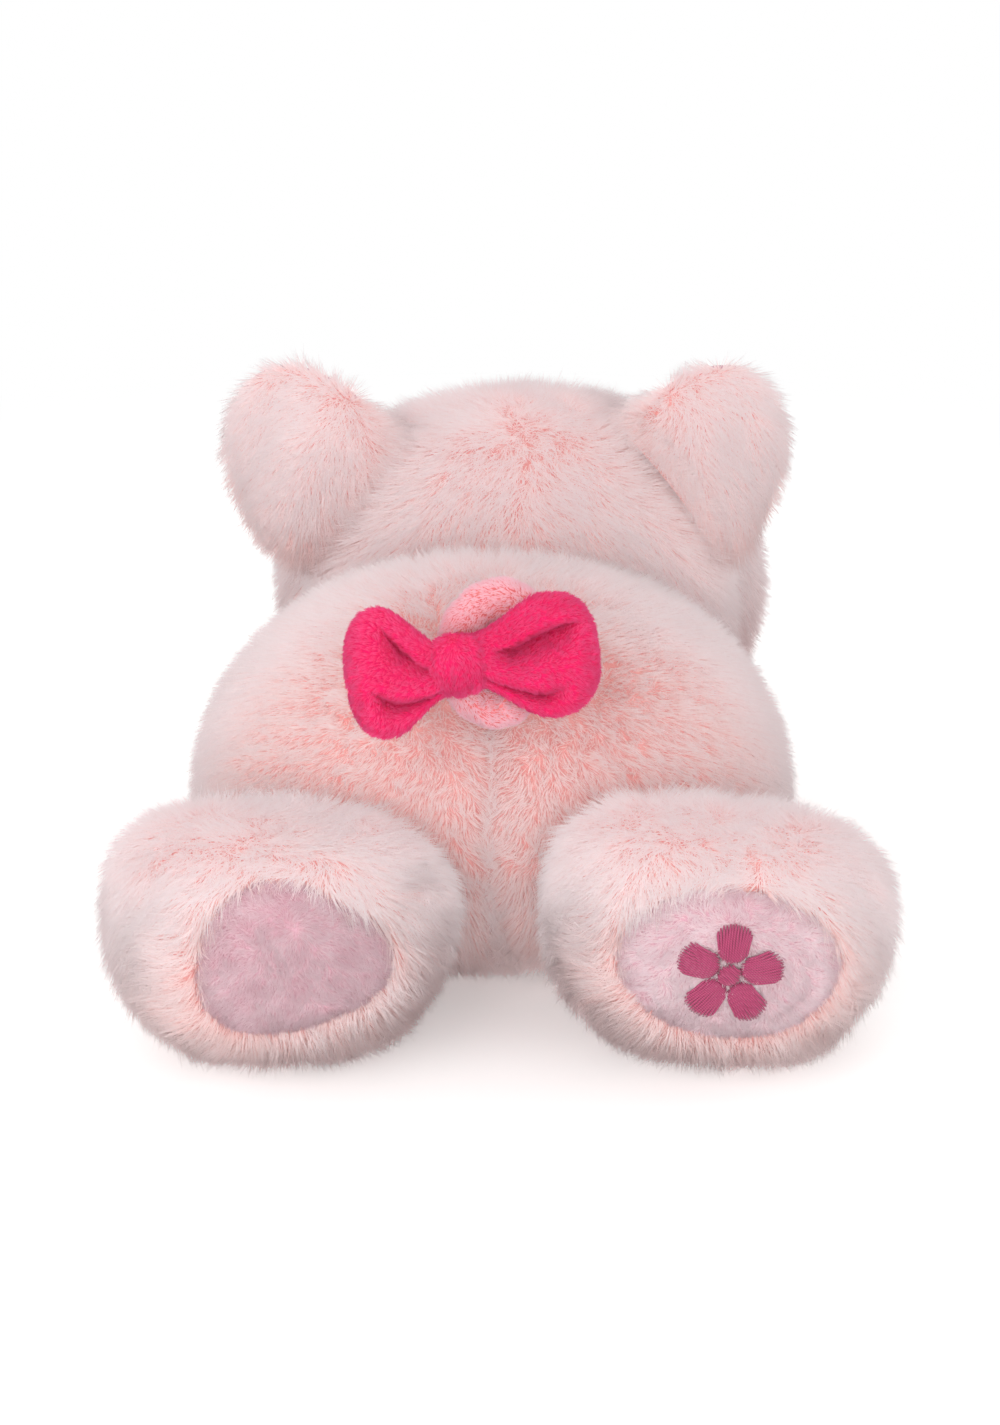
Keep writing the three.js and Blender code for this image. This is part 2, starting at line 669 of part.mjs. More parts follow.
const coilStart = tailRoot.clone().addScaledVector(tailDirection, COIL_RISE);
const coilMiddle = coilStart.clone().addScaledVector(tailUp, -COIL_RADIUS);

class TailCurve extends THREE.Curve {
  getPoint(t) {
    const drop = TAIL_TIP_DROP * THREE.MathUtils.smoothstep(t, TAIL_TIP_FROM, 1);
    const angle = 2 * Math.PI * COIL_TURNS * t;
    const onCoil = coilMiddle.clone().addScaledVector(tailOut, COIL_PITCH * COIL_TURNS * t);
    onCoil.addScaledVector(tailUp, COIL_RADIUS * Math.cos(angle));
    onCoil.addScaledVector(X_AXIS, -COIL_RADIUS * Math.sin(angle));
    onCoil.z -= drop;
    const onRoot = tailRoot.clone().addScaledVector(tailDirection, COIL_RISE * Math.min(1, t / COIL_LEAD_IN));
    return onRoot.lerp(onCoil, THREE.MathUtils.smoothstep(t, 0, COIL_LEAD_IN));
  }
}

const tailCurve = new TailCurve();
const tailTip = tailCurve.getPoint(1);
const bowSeat = tailCurve.getPoint(BOW_SEAT);

function tailTube(radius, sideCount) {
  const section = new THREE.Shape().absarc(0, 0, radius, 0, 2 * Math.PI);
  const steps = Math.ceil(TAIL_STEPS_PER_TURN * COIL_TURNS);
  const options = { steps, extrudePath: tailCurve, curveSegments: sideCount / 2 };
  const tube = solidOf(new THREE.ExtrudeGeometry(section, options));
  return tube.add(ball(tailRoot, radius, SMALL_BALL_FACETS)).add(ball(tailTip, radius, SMALL_BALL_FACETS));
}

// Least space between parts of the tube that are more than half a turn apart
function leastTailGap() {
  const count = 240;
  const points = tailCurve.getPoints(count);
  const apart = Math.round(count / COIL_TURNS / 2);
  let least = Infinity;
  for (let i = 0; i < points.length; i += 1) {
    for (let j = i + apart; j < points.length; j += 1) {
      least = Math.min(least, points[i].distanceTo(points[j]));
    }
  }
  return least - 2 * TAIL_RADIUS;
}

function addTail() {
  const hollow = tailTube(TAIL_RADIUS - TAIL_CLOTH, TAIL_INNER_SIDES);
  const mouthRadius = (TAIL_RADIUS - TAIL_CLOTH) / 2;
  const mouth = rod(tailRoot, tailDirection.clone().negate(), mouthRadius, TAIL_RADIUS + GAP, TAIL_SIDES);
  addPiece('tail_cover', tailTube(TAIL_RADIUS, TAIL_SIDES).subtract(hollow).subtract(mouth), salmon);
  addPiece('tail_filling', tailTube(TAIL_RADIUS - TAIL_CLOTH - GAP, TAIL_INNER_SIDES), fibre);
  console.log(`least gap of the tail to itself: ${leastTailGap().toFixed(2)} mm`);
}

// Bow: a band on the tail's tip and two pleated loops

const bowOut = new THREE.Vector3(0, -Math.cos(radians(BOW_LEAN)), Math.sin(radians(BOW_LEAN)));
const bowMiddle = bowSeat.clone().addScaledVector(bowOut, TAIL_RADIUS + BAND_HALF_DEPTH - BAND_ON_TAIL);
const bowFrame = new THREE.Matrix4()
  .makeRotationX(radians(-BOW_LEAN))
  .multiply(new THREE.Matrix4().makeRotationY(radians(-BOW_TILT)))
  .setPosition(bowMiddle);

function bandForm(grow) {
  const radiusOf = (direction) => grow + 1 / Math.hypot(
    direction.x / BAND_HALF_WIDTH,
    direction.y / BAND_HALF_DEPTH,
    direction.z / BAND_HALF_HEIGHT,
  );
  return stuffedForm(new THREE.Vector3(), radiusOf, BAND_FACETS).applyMatrix4(bowFrame);
}

// A loop's inner end is at the band's middle
function loopHalfLength(side) {
  return LOOP_HALF_LENGTH[sideNames.indexOf(side)];
}

function loopRadius(direction, side) {
  const inward = Math.max(0, -sides[side] * direction.x);
  const height = LOOP_HALF_HEIGHT * (1 - LOOP_TAPER * inward);
  const plain = 1 / Math.hypot(
    direction.x / loopHalfLength(side),
    direction.y / LOOP_HALF_DEPTH,
    direction.z / height,
  );
  const fold = 0.5 - 0.5 * Math.cos(2 * Math.PI * PLEATS * (0.5 + 0.5 * direction.z));
  return plain - PLEAT_DEPTH * fold * Math.abs(direction.y);
}

function addBow() {
  const coil = geometryOf(tailTube(TAIL_RADIUS + LIMB_GAP, TAIL_SIDES));
  const clearOfTail = (solid) => clearOfSwing(solid, coil, bowSeat, bowOut, -BOW_TWIST, BOW_TWIST);
  addPiece('bow_band', clearOfTail(solidOf(bandForm(0))), hotPink);
  for (const side of sideNames) {
    const middle = new THREE.Vector3(sides[side] * loopHalfLength(side), 0, 0);
    const form = stuffedForm(middle, (direction) => loopRadius(direction, side), LOOP_FACETS);
    const loop = solidOf(form.applyMatrix4(bowFrame)).subtract(solidOf(bandForm(GAP)));
    addPiece(`bow_loop_${side}`, clearOfTail(loop), hotPink);
  }
}

// Stitched flower, on the flat middle of the right sole
function addFlower() {
  const outline = new THREE.Shape();
  const count = 8 * FLOWER_PETALS;
  for (let k = 0; k < count; k += 1) {
    const angle = (2 * Math.PI * k) / count;
    const radius = FLOWER_RADIUS - FLOWER_DENT * (0.5 - 0.5 * Math.cos(FLOWER_PETALS * angle));
    const point = [radius * Math.sin(angle), radius * Math.cos(angle)];
    if (k === 0) outline.moveTo(...point);
    else outline.lineTo(...point);
  }
  const geometry = new THREE.ExtrudeGeometry(outline, { depth: STITCH_HEIGHT, bevelEnabled: false });
  geometry.rotateX(-Math.PI / 2).translate(-SOLE_OUT, SOLE_FROM_MIDDLE + SOLE_CROWN + GAP, SOLE_RAISE);
  addPiece('sole_flower', solidOf(geometry.applyMatrix4(hindFootFrame('right'))), thread);
}

addBody();
addNeckSeam();
addHead();
addSnout();
addTail();
addBow();
addFlower();
for (const side of sideNames) {
  addEye(side);
  addEar(side);
  addHindLeg(side);
  addFrontLeg(side);
}

export default pig;
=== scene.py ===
"""A plush pig on its belly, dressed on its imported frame. Sizes are in millimetres until a mesh is made."""

import math

import bpy
import numpy as np
from mathutils import Matrix, Vector, kdtree


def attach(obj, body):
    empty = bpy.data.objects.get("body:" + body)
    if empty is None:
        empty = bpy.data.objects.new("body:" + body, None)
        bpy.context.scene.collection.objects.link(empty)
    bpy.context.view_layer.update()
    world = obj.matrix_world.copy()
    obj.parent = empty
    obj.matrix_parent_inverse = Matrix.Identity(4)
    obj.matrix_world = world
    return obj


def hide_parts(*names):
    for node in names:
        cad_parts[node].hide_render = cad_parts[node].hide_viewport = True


MM = 0.001
SIDES = {"left": -1, "right": 1}
FUR_UV = "OFBake"
MOST_STRANDS = 60000
STRAND = 0.42
FINE_STRAND = 0.4

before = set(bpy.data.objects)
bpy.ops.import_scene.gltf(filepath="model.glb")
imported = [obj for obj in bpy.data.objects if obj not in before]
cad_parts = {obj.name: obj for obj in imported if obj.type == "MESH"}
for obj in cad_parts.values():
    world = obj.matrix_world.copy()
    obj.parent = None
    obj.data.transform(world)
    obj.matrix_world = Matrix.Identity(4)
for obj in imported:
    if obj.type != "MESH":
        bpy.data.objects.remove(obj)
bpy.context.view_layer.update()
scene = bpy.context.scene


# Small helpers


def soft(a, b, power):
    return (np.abs(a) ** power + np.abs(b) ** power) ** (-1.0 / power)


def step(x, low, high):
    t = np.clip((x - low) / (high - low), 0.0, 1.0)
    return t * t * (3.0 - 2.0 * t)


def unit(v):
    return v / np.maximum(np.linalg.norm(v, axis=-1, keepdims=True), 1e-9)


def turn_matrix(axis, degrees):
    return np.array(Matrix.Rotation(math.radians(degrees), 3, Vector(axis)))


def turned(points, pivot, axis, degrees):
    return (points - pivot) @ turn_matrix(axis, degrees).T + pivot


def waves(p, size, seed):
    """A smooth vector field whose swirls are about this size."""
    rng = np.random.default_rng(seed)
    out = np.zeros_like(p)
    for _ in range(7):
        k = rng.normal(0, 1, 3)
        k *= 2 * math.pi / size / np.linalg.norm(k) * rng.uniform(0.6, 1.5)
        out += np.sin((p @ k)[:, None] + rng.uniform(0, 2 * math.pi, 3))
    return out / 2.6


def linear(rgb):
    """A colour given as 0 to 255 in sRGB, as the shader takes it."""
    c = np.array(rgb) / 255.0
    c = np.where(c <= 0.04045, c / 12.92, ((c + 0.055) / 1.055) ** 2.4)
    return (*c.tolist(), 1.0)


# Stuffed forms, as the part's source has them


class Form:
    """A radius that depends on direction, about a middle, in the form's own axes (the rows of axes)."""

    def __init__(self, middle, radius, axes=np.eye(3)):
        self.middle = np.array(middle, float)
        self.radius = radius
        self.axes = np.array(axes, float)

    def local(self, points):
        return (points - self.middle) @ self.axes.T

    def world(self, points):
        return points @ self.axes + self.middle

    def clearance(self, points):
        q = self.local(points)
        r = np.maximum(np.linalg.norm(q, axis=1), 1e-6)
        return r - self.radius(q / r[:, None])

    def pushed(self, points, grow):
        """The points, with each one that lies inside moved straight out to the surface."""
        q = self.local(points)
        r = np.maximum(np.linalg.norm(q, axis=1), 1e-6)
        d = q / r[:, None]
        out = np.maximum(r, self.radius(d) + grow)
        return self.world(d * out[:, None])


def cleared(points, form, grow, pivot, axis, angles):
    """The points, pushed out of a form at each of these angles of their hinge."""
    for degrees in angles:
        there = turned(points, pivot, axis, degrees)
        points = turned(form.pushed(there, grow), pivot, axis, -degrees)
    return points


def ring_faces(rings, columns, flip=False):
    """Faces of a closed form, whose points are one end, ring after ring, and the other end."""
    last = 1 + rings * columns
    faces = []
    for j in range(columns):
        k = (j + 1) % columns
        faces += [(0, 1 + k, 1 + j), (last, last - columns + j, last - columns + k)]
    for i in range(rings - 1):
        a, b = 1 + i * columns, 1 + (i + 1) * columns
        for j in range(columns):
            k = (j + 1) % columns
            faces.append((a + j, a + k, b + k, b + j))
    return [face[:1] + face[:0:-1] for face in faces] if flip else faces


def ball_grid(columns, rows, pole=2):
    """Directions over a sphere, with their faces."""
    points = [(0, 0, 1)]
    for i in range(1, rows):
        a = math.pi * i / rows
        for j in range(columns):
            b = 2 * math.pi * j / columns
            points.append((math.sin(a) * math.cos(b), math.sin(a) * math.sin(b), math.cos(a)))
    points.append((0, 0, -1))
    return np.roll(np.array(points, float), pole - 2, axis=1), ring_faces(rows - 1, columns, True)


def body_radius(d):
    under = d[:, 2] < 0
    across = np.hypot(d[:, 0] / 107, d[:, 1] / np.where(d[:, 1] < 0, 89, 74))
    along = d[:, 2] / np.where(under, 46.5, 90)
    return np.where(under, soft(across, along, 2.8), soft(across, along, 2.1))


def head_radius(d):
    cheek = step(d[:, 1], -0.1, 0.25)
    return 1 / np.sqrt(
        (d[:, 0] / (83 + 16 * cheek)) ** 2
        + (d[:, 1] / np.where(d[:, 1] < 0, 83, 70)) ** 2
        + (d[:, 2] / 83) ** 2
    )


def ear_radius(side):
    lean = math.radians(12)

    def radius(d):
        inward = -SIDES[side] * d[:, 0]
        along = d[:, 1] * math.cos(lean) + inward * math.sin(lean)
        across = inward * math.cos(lean) - d[:, 1] * math.sin(lean)
        return 1 / np.sqrt(
            (across / np.where(across < 0, 35, 29)) ** 2
            + (along / np.where(along < 0, 24, 51)) ** 2
            + (d[:, 2] / np.where(d[:, 2] < 0, 7, 18)) ** 2
        )

    return radius


def foot_radius(d):
    around = 1 / soft(d[:, 0] / 59, d[:, 2] / np.where(d[:, 2] < 0, 52.5, 31), 2.6)
    fullness = np.where(d[:, 1] < 0, 2.2, 2.5 + 0.7 * step(d[:, 2], -0.5, 0.1))
    return soft(around, d[:, 1] / np.where(d[:, 1] < 0, 43, 47), fullness)


def paw_radius(d):
    around = np.hypot(d[:, 0] / 23, d[:, 2] / np.where(d[:, 2] < 0, 20.5, 19))
    return soft(around, d[:, 1] / np.where(d[:, 1] < 0, 58, 40), 2.3)


BODY = Form((0, 0, 46), body_radius)
HEAD = Form((11, 97, 86), head_radius)


def foot_form(side):
    yaw, x = {"left": (194, -70), "right": (178, 74)}[side]
    axes = (turn_matrix((0, 0, 1), yaw) @ turn_matrix((0, 1, 0), -6)).T
    return Form((x, -100, 52), foot_radius, axes)


def paw_form(side):
    return Form((SIDES[side] * 87, 88, 20), paw_radius)


def ear_form(side):
    s = SIDES[side]
    rise = unit(np.array((s * 0.743, 0.229, 0.629)))
    back = unit(np.array((0, -0.94, 0.342)))
    across = unit(np.cross(rise, back))
    seat = np.array((63.079 * s + 5, 80.815, 137.459))
    form = Form(seat - 2 * rise, ear_radius(side), (across, rise, back))
    return form, seat, across


FEET = {side: foot_form(side) for side in SIDES}
PAWS = {side: paw_form(side) for side in SIDES}
EARS = {side: ear_form(side) for side in SIDES}
FOOT_INSET = 6.5
FOOT_FLAT = 38.5
PAW_INSET = 7
HEAD_ROOM = 4
SNOUT_X, SNOUT_Z = 11, 74

# Angles at which the pieces clear what they move against, over the range of each hinge
HEAD_TURN = (-18, -9, 0, 9, 18)
EAR_FOLD = (-20, -10, 0, 10, 20)
HIND_LEG_LIFT = (-18, -9, 0, 10)
FRONT_LEG_SPLAY = (0, 14, 28)


def eye_way(side):
    return unit(np.array((SIDES[side] * 0.5, math.cos(math.radians(30)), math.tan(math.radians(24)))))


# Meshes


def mesh_piece(name, points, faces, material):
    mesh = bpy.data.meshes.new(name)
    mesh.from_pydata((points * MM).tolist(), [], faces)
    mesh.update()
    mesh.polygons.foreach_set("use_smooth", np.ones(len(mesh.polygons), bool))
    mesh.materials.append(material)
    piece = bpy.data.objects.new(name, mesh)
    scene.collection.objects.link(piece)
    return piece


def dress(name, points, faces, material, body, nodes=()):
    """A piece of the scene on a body, in place of these nodes."""
    piece = mesh_piece(name, points, faces, material)
    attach(piece, body)
    if nodes:
        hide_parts(*nodes)


def triangles_of(faces):
    out = []
    for face in faces:
        for k in range(1, len(face) - 1):
            out.append((face[0], face[k], face[k + 1]))
    return np.array(out)


def point_normals(points, triangles):
    a, b, c = (points[triangles[:, k]] for k in range(3))
    face = np.cross(b - a, c - a)
    out = np.zeros_like(points)
    for k in range(3):
        np.add.at(out, triangles[:, k], face)
    return unit(out)


def scatter(points, faces, per_mm2, rng, weight=None):
    """Roots spread over a mesh, with the normals there. weight thins them out, from 0 to 1."""
    triangles = triangles_of(faces)
    normals = point_normals(points, triangles)
    a, b, c = (points[triangles[:, k]] for k in range(3))
    area = np.linalg.norm(np.cross(b - a, c - a), axis=1) / 2
    count = int(area.sum() * per_mm2)
    pick = np.searchsorted(np.cumsum(area) / area.sum(), rng.random(count)).clip(0, len(area) - 1)
    u, v = np.sqrt(rng.random(count)), rng.random(count)
    share = np.stack((1 - u, u * (1 - v), u * v), 1)
    corner = triangles[pick]
    roots = (points[corner] * share[:, :, None]).sum(1)
    up = unit((normals[corner] * share[:, :, None]).sum(1))
    if weight is not None:
        keep = rng.random(count) < (weight[corner] * share).sum(1)
        roots, up = roots[keep], up[keep]
    return roots, up


def strand_mesh(name, corners, tint, material):
    """Three-sided strands, each with a map of its tint across and its length up."""
    count = len(corners)
    mesh = bpy.data.meshes.new(name)
    mesh.vertices.add(4 * count)
    mesh.vertices.foreach_set("co", (corners * MM).astype(np.float32).ravel())
    order = np.array((0, 1, 3, 1, 2, 3, 2, 0, 3))
    mesh.loops.add(9 * count)
    mesh.loops.foreach_set("vertex_index", (4 * np.arange(count)[:, None] + order).astype(np.int32).ravel())
    mesh.polygons.add(3 * count)
    mesh.polygons.foreach_set("loop_start", np.arange(0, 9 * count, 3, dtype=np.int32))
    uv = np.empty((count, 4, 2), np.float32)
    uv[:, :, 0] = tint[:, None] + np.array((-0.012, 0.012, 0.0, 0.0))
    uv[:, :, 1] = np.array((0.02, 0.02, 0.02, 0.98))
    mesh.uv_layers.new(name=FUR_UV).data.foreach_set("uv", uv[:, order].ravel())
    mesh.polygons.foreach_set("use_smooth", np.ones(3 * count, bool))
    mesh.update(calc_edges=True)
    mesh.materials.append(material)
    piece = bpy.data.objects.new(name, mesh)
    scene.collection.objects.link(piece)
    return piece


def guide_of(roots, spacing_mm2, rng, per_mm2):
    """For each strand, the strand that its tuft gathers round."""
    count = len(roots)
    guides = rng.choice(count, max(1, int(count / per_mm2 / spacing_mm2)), replace=False)
    tree = kdtree.KDTree(len(guides))
    for k, g in enumerate(guides):
        tree.insert(roots[g], k)
    tree.balance()
    nearest = np.fromiter((tree.find(r)[1] for r in roots), np.int64, count)
    return guides[nearest]


def fur(name, body, material, roots, normals, comb, seed, length, width, lean, tint,
        per_mm2, tuft_mm2=9.0, gather=0.45, stray=0.3, lowest=0.3):
    """Grows strands. comb is the way they lie, lean the angle off the normal in degrees."""
    rng = np.random.default_rng(seed)
    count = len(roots)
    along = unit(comb - (comb * normals).sum(1, keepdims=True) * normals)
    aside = np.cross(normals, along)
    yaw = rng.normal(0, stray, count)[:, None]
    along = along * np.cos(yaw) + aside * np.sin(yaw)
    tilt = np.radians(np.clip(lean + rng.normal(0, 9, count), 4, 78))[:, None]
    size = (length * rng.uniform(0.72, 1.12, count))[:, None]
    tip = roots + size * (normals * np.cos(tilt) + along * np.sin(tilt))
    guide = guide_of(roots, tuft_mm2, rng, per_mm2)
    pull = gather * rng.uniform(0.5, 1.2, count)[:, None]
    tip = tip + pull * (tip[guide] - tip)
    way = unit(tip - roots)
    flat = unit(np.cross(way, normals) + 1e-6)
    edge = np.cross(way, flat)
    thick = (width * rng.uniform(0.7, 1.2, count) / 2)[:, None]
    turn = rng.uniform(0, 2 * math.pi, count)[:, None]
    ring = [roots + thick * (flat * np.cos(turn + a) + edge * np.sin(turn + a)) for a in (0, 2.094, 4.189)]
    corners = np.stack((*ring, tip), 1)
    corners[:, :, 2] = np.maximum(corners[:, :, 2], lowest + 0.4 * rng.random(count)[:, None])
    tint = np.clip(tint + rng.normal(0, 0.1, count), 0.02, 0.98)
    parts = max(1, math.ceil(count / MOST_STRANDS))
    order = np.argsort(roots[:, 0], kind="stable")
    for k, chosen in enumerate(np.array_split(order, parts)):
        label = name if parts == 1 else f"{name}_{k + 1}"
        piece = strand_mesh(label, corners[chosen], tint[chosen], material)
        piece.visible_shadow = False
        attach(piece, body)


# Materials


class Nodes:
    """A material's nodes, with short calls to add and link them."""

    def __init__(self, name, roughness, sheen=0.0, specular=0.3, sheen_rgb=(255, 255, 255)):
        self.material = bpy.data.materials.new(name)
        self.material.use_nodes = True
        self.tree = self.material.node_tree
        self.shader = self.tree.nodes["Principled BSDF"]
        self.shader.inputs["Roughness"].default_value = roughness
        self.shader.inputs["Sheen Weight"].default_value = sheen
        self.shader.inputs["Sheen Roughness"].default_value = 0.5
        self.shader.inputs["Sheen Tint"].default_value = linear(sheen_rgb)
        self.shader.inputs["Specular IOR Level"].default_value = specular

    def add(self, kind, **values):
        node = self.tree.nodes.new(kind)
        for key, value in values.items():
            if key in node.bl_rna.properties:
                setattr(node, key, value)
            else:
                node.inputs[key].default_value = value
        return node

    def link(self, out, into):
        self.tree.links.new(out, into)

    def ramp(self, factor, stops):
        node = self.add("ShaderNodeValToRGB")
        elements = node.color_ramp.elements
        while len(elements) < len(stops):
            elements.new(0.5)
        for element, (place, rgb) in zip(elements, stops):
            element.position = place
            element.color = linear(rgb)
        self.link(factor, node.inputs["Fac"])
        return node.outputs["Color"]

    def mix(self, factor, a, b):
        node = self.add("ShaderNodeMix", data_type="RGBA")
        self.link(factor, node.inputs["Factor"])
        self.link(a, node.inputs["A"])
        self.link(b, node.inputs["B"])
        return node.outputs["Result"]

    def bump(self, height, strength, distance_mm):
        node = self.add("ShaderNodeBump", Strength=strength, Distance=distance_mm * MM)
        self.link(height, node.inputs["Height"])
        self.link(node.outputs["Normal"], self.shader.inputs["Normal"])

    def where(self):
        return self.add("ShaderNodeTexCoord").outputs["Object"]


def pile_material(name, pale, warm, roughness=0.9, sheen=0.25):
    """Strands: pale and warm are each a root, a middle and a tip colour, mixed by a strand's tint. The roots are darker
    than the tips: partly the pile's own colour, partly painted shade deep in the pile, as the strands cast no shadows.
    """
    nodes = Nodes(name, roughness, sheen, 0.15, warm[2])
    uv = nodes.add("ShaderNodeUVMap", uv_map=FUR_UV)
    split = nodes.add("ShaderNodeSeparateXYZ")
    nodes.link(uv.outputs["UV"], split.inputs["Vector"])
    places = (0.0, 0.45, 1.0)
    a = nodes.ramp(split.outputs["Y"], list(zip(places, pale)))
    b = nodes.ramp(split.outputs["Y"], list(zip(places, warm)))
    nodes.link(nodes.mix(split.outputs["X"], a, b), nodes.shader.inputs["Base Color"])
    return nodes.material


def backing_material(name, light, dark):
    """The knitted backing that the pile stands on."""
    nodes = Nodes(name, 0.95, 0.15, 0.1)
    where = nodes.where()
    knit = nodes.add("ShaderNodeTexWave", bands_direction="DIAGONAL", Scale=420, Distortion=2.5)
    nodes.link(where, knit.inputs["Vector"])
    cloud = nodes.add("ShaderNodeTexNoise", Scale=90, Detail=4)
    nodes.link(where, cloud.inputs["Vector"])
    colour = nodes.ramp(cloud.outputs["Fac"], [(0.3, dark), (0.7, light)])
    nodes.link(colour, nodes.shader.inputs["Base Color"])
    nodes.bump(knit.outputs["Fac"], 0.5, 0.3)
    return nodes.material


def thread_material(name, light, dark):
    """Twisted embroidery thread."""
    nodes = Nodes(name, 0.45, 0.3, 0.5)
    twist = nodes.add("ShaderNodeTexWave", bands_direction="DIAGONAL", Scale=700, Distortion=1.5)
    nodes.link(nodes.where(), twist.inputs["Vector"])
    colour = nodes.ramp(twist.outputs["Fac"], [(0.2, dark), (0.8, light)])
    nodes.link(colour, nodes.shader.inputs["Base Color"])
    nodes.bump(twist.outputs["Fac"], 0.4, 0.15)
    return nodes.material


def plastic_material(name, light, dark, roughness, scale):
    """Moulded plastic with a faint flow and scuffs in its gloss."""
    nodes = Nodes(name, roughness, 0.0, 0.5)
    cloud = nodes.add("ShaderNodeTexNoise", Scale=scale, Detail=5)
    nodes.link(nodes.where(), cloud.inputs["Vector"])
    colour = nodes.ramp(cloud.outputs["Fac"], [(0.35, dark), (0.65, light)])
    nodes.link(colour, nodes.shader.inputs["Base Color"])
    nodes.bump(cloud.outputs["Fac"], 0.08, 0.1)
    return nodes.material


plush_pile = pile_material(
    "plush_pile",
    ((247, 220, 219), (251, 234, 235), (253, 243, 245)),
    ((243, 186, 180), (248, 213, 210), (252, 231, 231)),
)
sole_pile = pile_material(
    "sole_pile",
    ((240, 206, 212), (246, 224, 229), (250, 233, 238)),
    ((214, 164, 176), (226, 188, 198), (235, 204, 212)),
)
salmon_pile = pile_material(
    "salmon_pile",
    ((249, 178, 188), (253, 206, 216), (255, 224, 232)),
    ((246, 158, 172), (251, 188, 200), (254, 210, 220)),
)
bow_pile = pile_material(
    "bow_pile",
    ((238, 36, 104), (250, 72, 134), (254, 112, 164)),
    ((228, 22, 86), (244, 54, 118), (250, 92, 146)),
    0.8,
    0.3,
)
plush_backing = backing_material("plush_backing", (242, 186, 182), (234, 164, 160))
sole_backing = backing_material("sole_backing", (230, 190, 202), (220, 174, 188))
salmon_backing = backing_material("salmon_backing", (236, 134, 134), (224, 112, 116))
bow_backing = backing_material("bow_backing", (236, 40, 112), (222, 22, 92))
seam_thread = thread_material("seam_thread", (240, 190, 192), (222, 160, 165))
flower_thread = thread_material("flower_thread", (176, 54, 104), (142, 32, 78))
nostril_thread = thread_material("nostril_thread", (206, 92, 104), (176, 66, 82))
eye_plastic = plastic_material("eye_plastic", (16, 13, 13), (8, 6, 6), 0.08, 300)
washer_plastic = plastic_material("washer_plastic", (232, 232, 226), (216, 216, 210), 0.5, 200)


# Camera, light and floor

EYE_LEVEL = math.radians(21.5)
EYE_DISTANCE = 1300
LAMP_TARGET = Vector((0, 0, 0.07))
FLOOR_HALF = 4000
target = Vector((2.8, 2.5, 76.3)) * MM
eye = Vector((0, -EYE_DISTANCE * math.cos(EYE_LEVEL), 70 + EYE_DISTANCE * math.sin(EYE_LEVEL))) * MM
camera_data = bpy.data.cameras.new("camera")
camera_data.lens = 93.6
camera_data.clip_start = 0.05
camera = bpy.data.objects.new("camera", camera_data)
camera.location = eye
camera.rotation_euler = (target - eye).to_track_quat("-Z", "Y").to_euler()
scene.collection.objects.link(camera)
scene.camera = camera
scene.view_settings.view_transform = "Standard"


def lamp(name, place, size, watts):
    data = bpy.data.lights.new(name, "AREA")
    data.shape = "DISK"
    data.size = size
    data.energy = watts
    piece = bpy.data.objects.new(name, data)
    piece.location = place
    piece.rotation_euler = (LAMP_TARGET - Vector(place)).to_track_quat("-Z", "Y").to_euler()
    scene.collection.objects.link(piece)


lamp("key", (-0.8, -1.0, 1.0), 1.4, 8.4)
lamp("fill", (0.9, -1.1, 0.7), 1.4, 5)
lamp("top", (0.0, 0.5, 1.5), 1.6, 3.2)
lamp("front", (-0.1, -1.7, 0.18), 1.6, 17)
lamp("side_left", (-1.4, 0.3, 0.35), 1.2, 5.5)
lamp("side_right", (1.4, 0.3, 0.35), 1.2, 5)
lamp("face", (0.2, 1.7, 0.3), 1.6, 14)


def seen_white(tree, light):
    """White where the camera, a mirror or glass looks, and this light for all other rays."""
    path = tree.nodes.new("ShaderNodeLightPath")
    first = tree.nodes.new("ShaderNodeMath")
    first.operation = "MAXIMUM"
    tree.links.new(path.outputs["Is Camera Ray"], first.inputs[0])
    tree.links.new(path.outputs["Is Glossy Ray"], first.inputs[1])
    second = tree.nodes.new("ShaderNodeMath")
    second.operation = "MAXIMUM"
    tree.links.new(first.outputs[0], second.inputs[0])
    tree.links.new(path.outputs["Is Transmission Ray"], second.inputs[1])
    white = tree.nodes.new("ShaderNodeBackground")
    white.inputs["Color"].default_value = (1, 1, 1, 1)
    white.inputs["Strength"].default_value = 1
    mix = tree.nodes.new("ShaderNodeMixShader")
    tree.links.new(second.outputs[0], mix.inputs["Fac"])
    tree.links.new(light, mix.inputs[1])
    tree.links.new(white.outputs[0], mix.inputs[2])
    return mix.outputs[0]


world = bpy.data.worlds.new("studio")
scene.world = world
world.use_nodes = True
sky = world.node_tree.nodes["Background"]
sky.inputs["Color"].default_value = (1, 0.99, 0.98, 1)
sky.inputs["Strength"].default_value = 0.48
world.node_tree.links.new(
    seen_white(world.node_tree, sky.outputs[0]),
    world.node_tree.nodes["World Output"].inputs["Surface"],
)

floor_nodes = Nodes("floor", 0.9)
floor_nodes.shader.inputs["Base Color"].default_value = (0.97, 0.965, 0.96, 1)
glow = floor_nodes.add("ShaderNodeEmission", Strength=0.22)
together = floor_nodes.add("ShaderNodeAddShader")
floor_nodes.link(floor_nodes.shader.outputs[0], together.inputs[0])
floor_nodes.link(glow.outputs[0], together.inputs[1])
distance = floor_nodes.add("ShaderNodeVectorMath", operation="LENGTH")
floor_nodes.link(floor_nodes.where(), distance.inputs[0])
far = floor_nodes.add("ShaderNodeMapRange", interpolation_type="SMOOTHSTEP")
far.inputs["From Min"].default_value = 0.3
far.inputs["From Max"].default_value = 0.7
floor_nodes.link(distance.outputs["Value"], far.inputs["Value"])
white = floor_nodes.add("ShaderNodeEmission", Strength=1.0)
fade = floor_nodes.add("ShaderNodeMixShader")
floor_nodes.link(far.outputs["Result"], fade.inputs["Fac"])
floor_nodes.link(together.outputs[0], fade.inputs[1])
floor_nodes.link(white.outputs[0], fade.inputs[2])
floor_path = floor_nodes.add("ShaderNodeLightPath")
